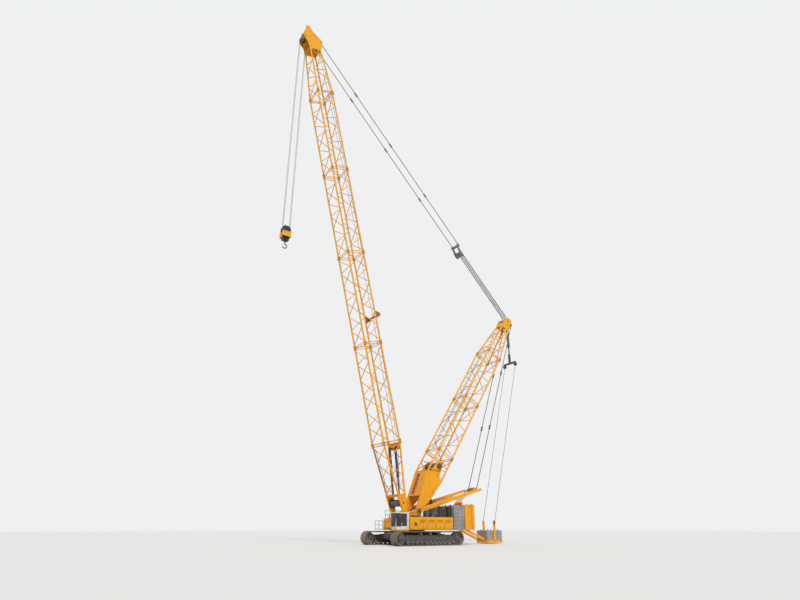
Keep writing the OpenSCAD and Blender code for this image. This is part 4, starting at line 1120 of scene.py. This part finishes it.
trim = bmesh.new()
add_tube(trim, cab(0.012, WIPER_SIDE, WIPER_FOOT), cab(0.016, 0.10, 0.60), 0.006, 10)
add_tube(trim, cab(-0.002, WIPER_SIDE, WIPER_FOOT), cab(0.016, WIPER_SIDE, WIPER_FOOT), 0.016, 16)
add_box(trim, cab(0.006, 0.085, 0.42), cab(0.012, 0.10, 0.76))
for side, wall in ((-1, cab_low.y), (1, cab_high.y)):
    y = wall + side * MIRROR_OUT
    elbow = (front_x + MIRROR_AHEAD, y, roof_z - 0.12)
    add_tube(trim, (front_x - 0.06, wall, roof_z - 0.16), elbow, MIRROR_ARM_RADIUS, 10)
    add_tube(trim, elbow, (front_x + MIRROR_AHEAD, y, roof_z - 0.34), MIRROR_ARM_RADIUS, 10)
    add_box(trim, (front_x + 0.032, y - 0.045, roof_z - 0.36), (front_x + 0.052, y + 0.045, roof_z - 0.20), edge=0.006)


def grab_rail(form, x, wall, out, feet, ends, foot_radius, radius):
    """A rail that stands off a wall on two feet; heights are above the cab's floor."""
    for foot in feet:
        add_tube(form, (x, wall, floor_z + foot), (x, out, floor_z + foot), foot_radius, 10)
    add_tube(form, (x, out, floor_z + ends[0]), (x, out, floor_z + ends[1]), radius, 12)


grab_rail(trim, front_x - 0.30, cab_high.y, cab_high.y + 0.03, (0.30, 0.62), (0.28, 0.64), 0.007, 0.009)
keep("cab_trim", trim, rubber, UPPER)


def window_frame(form, outer, inner, y):
    """A flat black frame on the cab's side, round one pane; outer and inner are (x0, z0, x1, z1)."""
    x0, z0, x1, z1 = outer
    a0, c0, a1, c1 = inner
    for low_x, low_z, high_x, high_z in ((x0, z0, a0, z1), (a1, z0, x1, z1), (a0, z0, a1, c0), (a0, c1, a1, z1)):
        add_box(form, (low_x, y - 0.001, low_z), (high_x, y + 0.0035, high_z))


WALL_FACE = cab_high.y - 0.026
SIDE_PANE = ((1.762, 1.064, 2.106, 1.815), (1.805, 1.084, 2.065, 1.785))
DOOR_PANE = ((1.322, 1.090, 1.752, 1.793), (1.345, 1.124, 1.685, 1.765))
SCREEN = Matrix.Translation((front_x, 0, 1.05)) @ Matrix.Rotation(-math.atan2(0.035, 0.81), 4, "Y")
SCREEN_BARS = ((0.945, 0.014, 0.980, 0.765), (1.440, 0.014, 1.488, 0.765),
               (0.980, 0.014, 1.440, 0.034), (0.980, 0.735, 1.440, 0.765))
side_frame, door_frame = bmesh.new(), bmesh.new()
window_frame(side_frame, *SIDE_PANE, WALL_FACE)
window_frame(door_frame, *DOOR_PANE, WALL_FACE)
for low_y, low_z, high_y, high_z in SCREEN_BARS:
    add_box(side_frame, (-0.001, low_y, low_z), (0.0035, high_y, high_z), matrix=SCREEN)
keep("cab_window_frame", side_frame, rubber, UPPER)
keep("door_window_frame", door_frame, rubber, "cab_door")
lamps, lamp_glass, beacon, door_trim = (bmesh.new() for form in range(4))
for y in (cab_low.y + 0.08, cab_high.y - 0.08):
    add_box(lamps, (front_x - 0.10, y - 0.04, roof_z), (front_x - 0.03, y + 0.04, roof_z + 0.05), edge=0.006)
    add_box(lamp_glass, (front_x - 0.031, y - 0.033, roof_z + 0.008), (front_x - 0.026, y + 0.033, roof_z + 0.043))
keep("cab_lamp_bodies", lamps, dark, UPPER)
keep("cab_lamp_glass", lamp_glass, lens, UPPER)
beacon_x = cab_low.x + 0.16
add_tube(beacon, (beacon_x, mid_y, roof_z), (beacon_x, mid_y, roof_z + 0.09), 0.045, 28, 0.034)
keep("cab_beacon", beacon, amber, UPPER)
door_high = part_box("cab_door")[1]
handle_x, handle_y = door_high.x - 0.06, door_high.y
grab_rail(door_trim, handle_x, handle_y - 0.004, handle_y + 0.022, (0.37, 0.49), (0.36, 0.50), 0.006, 0.008)
keep("door_handle", door_trim, rubber, "cab_door")

# %% [markdown]
# The mast foot is a box of plates. A long red-brown sheet with straps across it, laid flat down its
# front, is painted shade for a shaded slot there. The boom carries an orange plate between its rear
# chords, where the backstops push. Both are thin plates on the steel.

# %% Plates on the mast and the boom
SLOPE = Matrix.Translation((0.9, 0, -0.31)) @ Matrix.Rotation(math.atan2(0.32, 1.7), 4, "Y")
SHADE_SHEET_STRAPS, STRAP_PITCH, STRAP_WIDTH = 5, 0.3, 0.025
STOP_ENDS = (3.98, 4.38)
shade_sheet, stop_plate = bmesh.new(), bmesh.new()
# Painted shade: a flat red-brown sheet with straps across it, laid on the front plate of the mast foot where a slot
# lies in shadow.
add_box(shade_sheet, (0.12, -0.44, -0.006), (1.55, -0.10, 0.0), matrix=mast @ SLOPE, edge=0.002)
for i in range(SHADE_SHEET_STRAPS):
    start = 0.2 + STRAP_PITCH * i
    add_box(shade_sheet, (start, -0.46, -0.016), (start + STRAP_WIDTH, -0.08, 0.0), matrix=mast @ SLOPE)
keep("mast_recess", shade_sheet, brown, "mast")
start, end = STOP_ENDS
add_box(stop_plate, (start, -0.63, 0.585), (end, 0.63, 0.60), matrix=boom, edge=0.003)
for side in (-0.3, 0.3):
    add_box(stop_plate, (start, side - 0.01, 0.60), (end, side + 0.01, 0.64), matrix=boom)
keep("stop_plate", stop_plate, deep_yellow, "boom")

# %% [markdown]
# Slabs are lifted on and off by crane, so every stack carries lifting lugs on its top. The seams
# between the slabs are cut in the solid already. The beams that guide the hanging tray are pinned
# at both ends, and its hangers are bolted to the rim.

# %% Lifting lugs and tray pins
weight_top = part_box("counterweight")[1].z
TRAY_TOP = 0.83
HANGER_FACE = 0.57
BEAM_PINS = ((-4.02, 0.935), (-5.72, 0.268))
LUG_PLACES = [(x, y, weight_top) for x in (-2.95, -2.36) for y in (1.04, 1.41)]
LUG_PLACES += [(x, 0.36, TRAY_TOP) for x in (-6.95, -6.05)]
lugs, tray_pins = bmesh.new(), bmesh.new()
for side in SIDES:
    for x, y, top in LUG_PLACES:
        add_lug(lugs, x, side * y, top, top + 0.045, 0.05, top + 0.042, 0.030, 0.02)
    for x, z in BEAM_PINS:
        for near, far, radius, sides in ((0.28, 0.42, 0.042, 28), (0.27, 0.43, 0.026, 20)):
            add_tube(tray_pins, (x, side * near, z), (x, side * far, z), radius, sides)
keep("counterweight_lugs", lugs, pin_steel, UPPER)
keep("tray_pins", tray_pins, dark, UPPER)
heads = [(x, z) for x in (-6.56, -6.50, -6.44) for z in (0.145, 0.24)]
fasten("tray_bolts", facing(UPRIGHT, HANGER_FACE, heads), SMALL_BOLT, UPPER)

# %% [markdown]
# A forged hook is thick where it carries and thin at its tip. It is swept here along its arc with a
# radius that tapers, instead of the even bar of the solid, and a safety latch closes its mouth.

# %% Tapered hook and its latch
hook_low, hook_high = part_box("hook")
ARC = 0.15
THICK, THIN = 0.047, 0.022
TAPER_START = 0.62
SWEEP, STEPS, ROUND = math.radians(275), 44, 20
hook_x = place("hook_swing").x
hook_centre = Vector((hook_x, 0, hook_low.z + ARC + THICK))
round_angles = [2 * math.pi * k / ROUND for k in range(ROUND)]
hook_form, latch = bmesh.new(), bmesh.new()
rings = []
for i in range(STEPS + 1):
    share = i / STEPS
    angle = math.pi / 2 + SWEEP * share
    outward = Vector((math.cos(angle), 0, math.sin(angle)))
    swell = math.sin(math.pi * min(1.0, share * 1.15)) ** 2 * 0.004
    taper = max(0.0, (share - TAPER_START) / (1 - TAPER_START)) ** 1.3
    thickness = THICK + (THIN - THICK) * taper - 0.004 + swell
    middle = hook_centre + outward * ARC
    rings.append([hook_form.verts.new(middle + thickness * (math.cos(t) * outward + math.sin(t) * Vector((0, 1, 0))))
                  for t in round_angles])
for first, second in zip(rings, rings[1:]):
    for k in range(ROUND):
        after = (k + 1) % ROUND
        hook_form.faces.new((first[k], first[after], second[after], second[k]))
hook_form.faces.new(rings[0])
hook_form.faces.new(tuple(reversed(rings[-1])))
tip_angle = math.pi / 2 + SWEEP
tip_place = hook_centre + ARC * Vector((math.cos(tip_angle), 0, math.sin(tip_angle)))
bmesh.ops.create_uvsphere(hook_form, u_segments=16, v_segments=10, radius=THIN + 0.001,
                          matrix=Matrix.Translation(tip_place))
shank_foot = hook_centre + Vector((0, 0, ARC))
add_tube(hook_form, shank_foot, (hook_x, 0, hook_high.z), 0.042, 28)
keep("forged_hook", hook_form, pin_steel, "hook", ("hook",))
for y in (-0.016, 0.016):
    add_tube(latch, shank_foot + Vector((0.03, y, -0.03)), tip_place + Vector((-0.012, y, 0.0)), 0.006, 10)
keep("hook_latch", latch, bright, "hook")
block_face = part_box("hook_block")[1].y
heads = [(hook_x + x, block_axle - drop) for x in (-0.24, -0.08, 0.08, 0.24) for drop in (0.21, 0.50)]
fasten("hook_block_bolts", facing(UPRIGHT, block_face, heads), BOLT, "hook")

# %% [markdown]
# The stage is a wide pale floor. The world is pale for the camera only, so that the background
# reads as a plain backdrop while the light on the crane stays at a plain level. One soft sun from
# the camera's side and the even light of the world show the form without hard shadows.

# %% Floor, world and light
FLOOR_SIZE = 160
SUN_FROM = (0.25, 0.62, 0.74)
floor_form = bmesh.new()
bmesh.ops.create_grid(floor_form, x_segments=1, y_segments=1, size=FLOOR_SIZE)
floor = bpy.data.objects.new("floor", mesh_of(floor_form))
scene.collection.objects.link(floor)
floor_material = bpy.data.materials.new("Pale floor")
floor_material.use_nodes = True
floor_tree = floor_material.node_tree
fill(floor_tree, floor_tree.nodes["Principled BSDF"], {"Base Color": (0.74, 0.73, 0.71, 1), "Roughness": 0.9})
floor.data.materials.append(floor_material)

world = bpy.data.worlds.new("Studio")
scene.world = world
world.use_nodes = True
sky = world.node_tree
sky.nodes.clear()
path = sky.nodes.new("ShaderNodeLightPath")
seen = calc(sky, "MAXIMUM", path.outputs["Is Camera Ray"], path.outputs["Is Glossy Ray"])
seen = calc(sky, "MAXIMUM", seen, path.outputs["Is Transmission Ray"])
soft = put(sky, "ShaderNodeBackground", {"Color": (0.90, 0.94, 1.0, 1), "Strength": 0.62})
backdrop = put(sky, "ShaderNodeBackground", {"Color": (0.86, 0.87, 0.88, 1), "Strength": 1.0})
chosen = put(sky, "ShaderNodeMixShader", {0: seen, 1: soft, 2: backdrop})
put(sky, "ShaderNodeOutputWorld", {"Surface": chosen})

sun = bpy.data.lights.new("sun", "SUN")
sun.energy = 2.1
sun.angle = math.radians(12)
sun.color = (1.0, 0.97, 0.92)
sun_object = bpy.data.objects.new("sun", sun)
scene.collection.objects.link(sun_object)
sun_object.rotation_euler = Vector(SUN_FROM).to_track_quat("Z", "Y").to_euler()
scene.view_settings.view_transform = "Standard"

# %% [markdown]
# The photo was taken from the ground with a wide lens that looks up at the whole crane. The camera
# stands on the left of the crane, ahead of it, at eye height for this scale, and tilts up.

# %% Camera
CAMERA_PLACE = (21.2, 31.3, 1.0)
CAMERA_HEADING = (-0.545, -0.839)
CAMERA_TILT = math.radians(22.5)
camera_data = bpy.data.cameras.new("camera")
camera_data.lens = 24.75
camera_data.sensor_width = 36
camera_data.clip_end = 500
camera = bpy.data.objects.new("camera", camera_data)
scene.collection.objects.link(camera)
level = math.cos(CAMERA_TILT)
gaze = Vector((CAMERA_HEADING[0] * level, CAMERA_HEADING[1] * level, math.sin(CAMERA_TILT)))
camera.location = CAMERA_PLACE
camera.rotation_euler = gaze.to_track_quat("-Z", "Y").to_euler()
scene.camera = camera
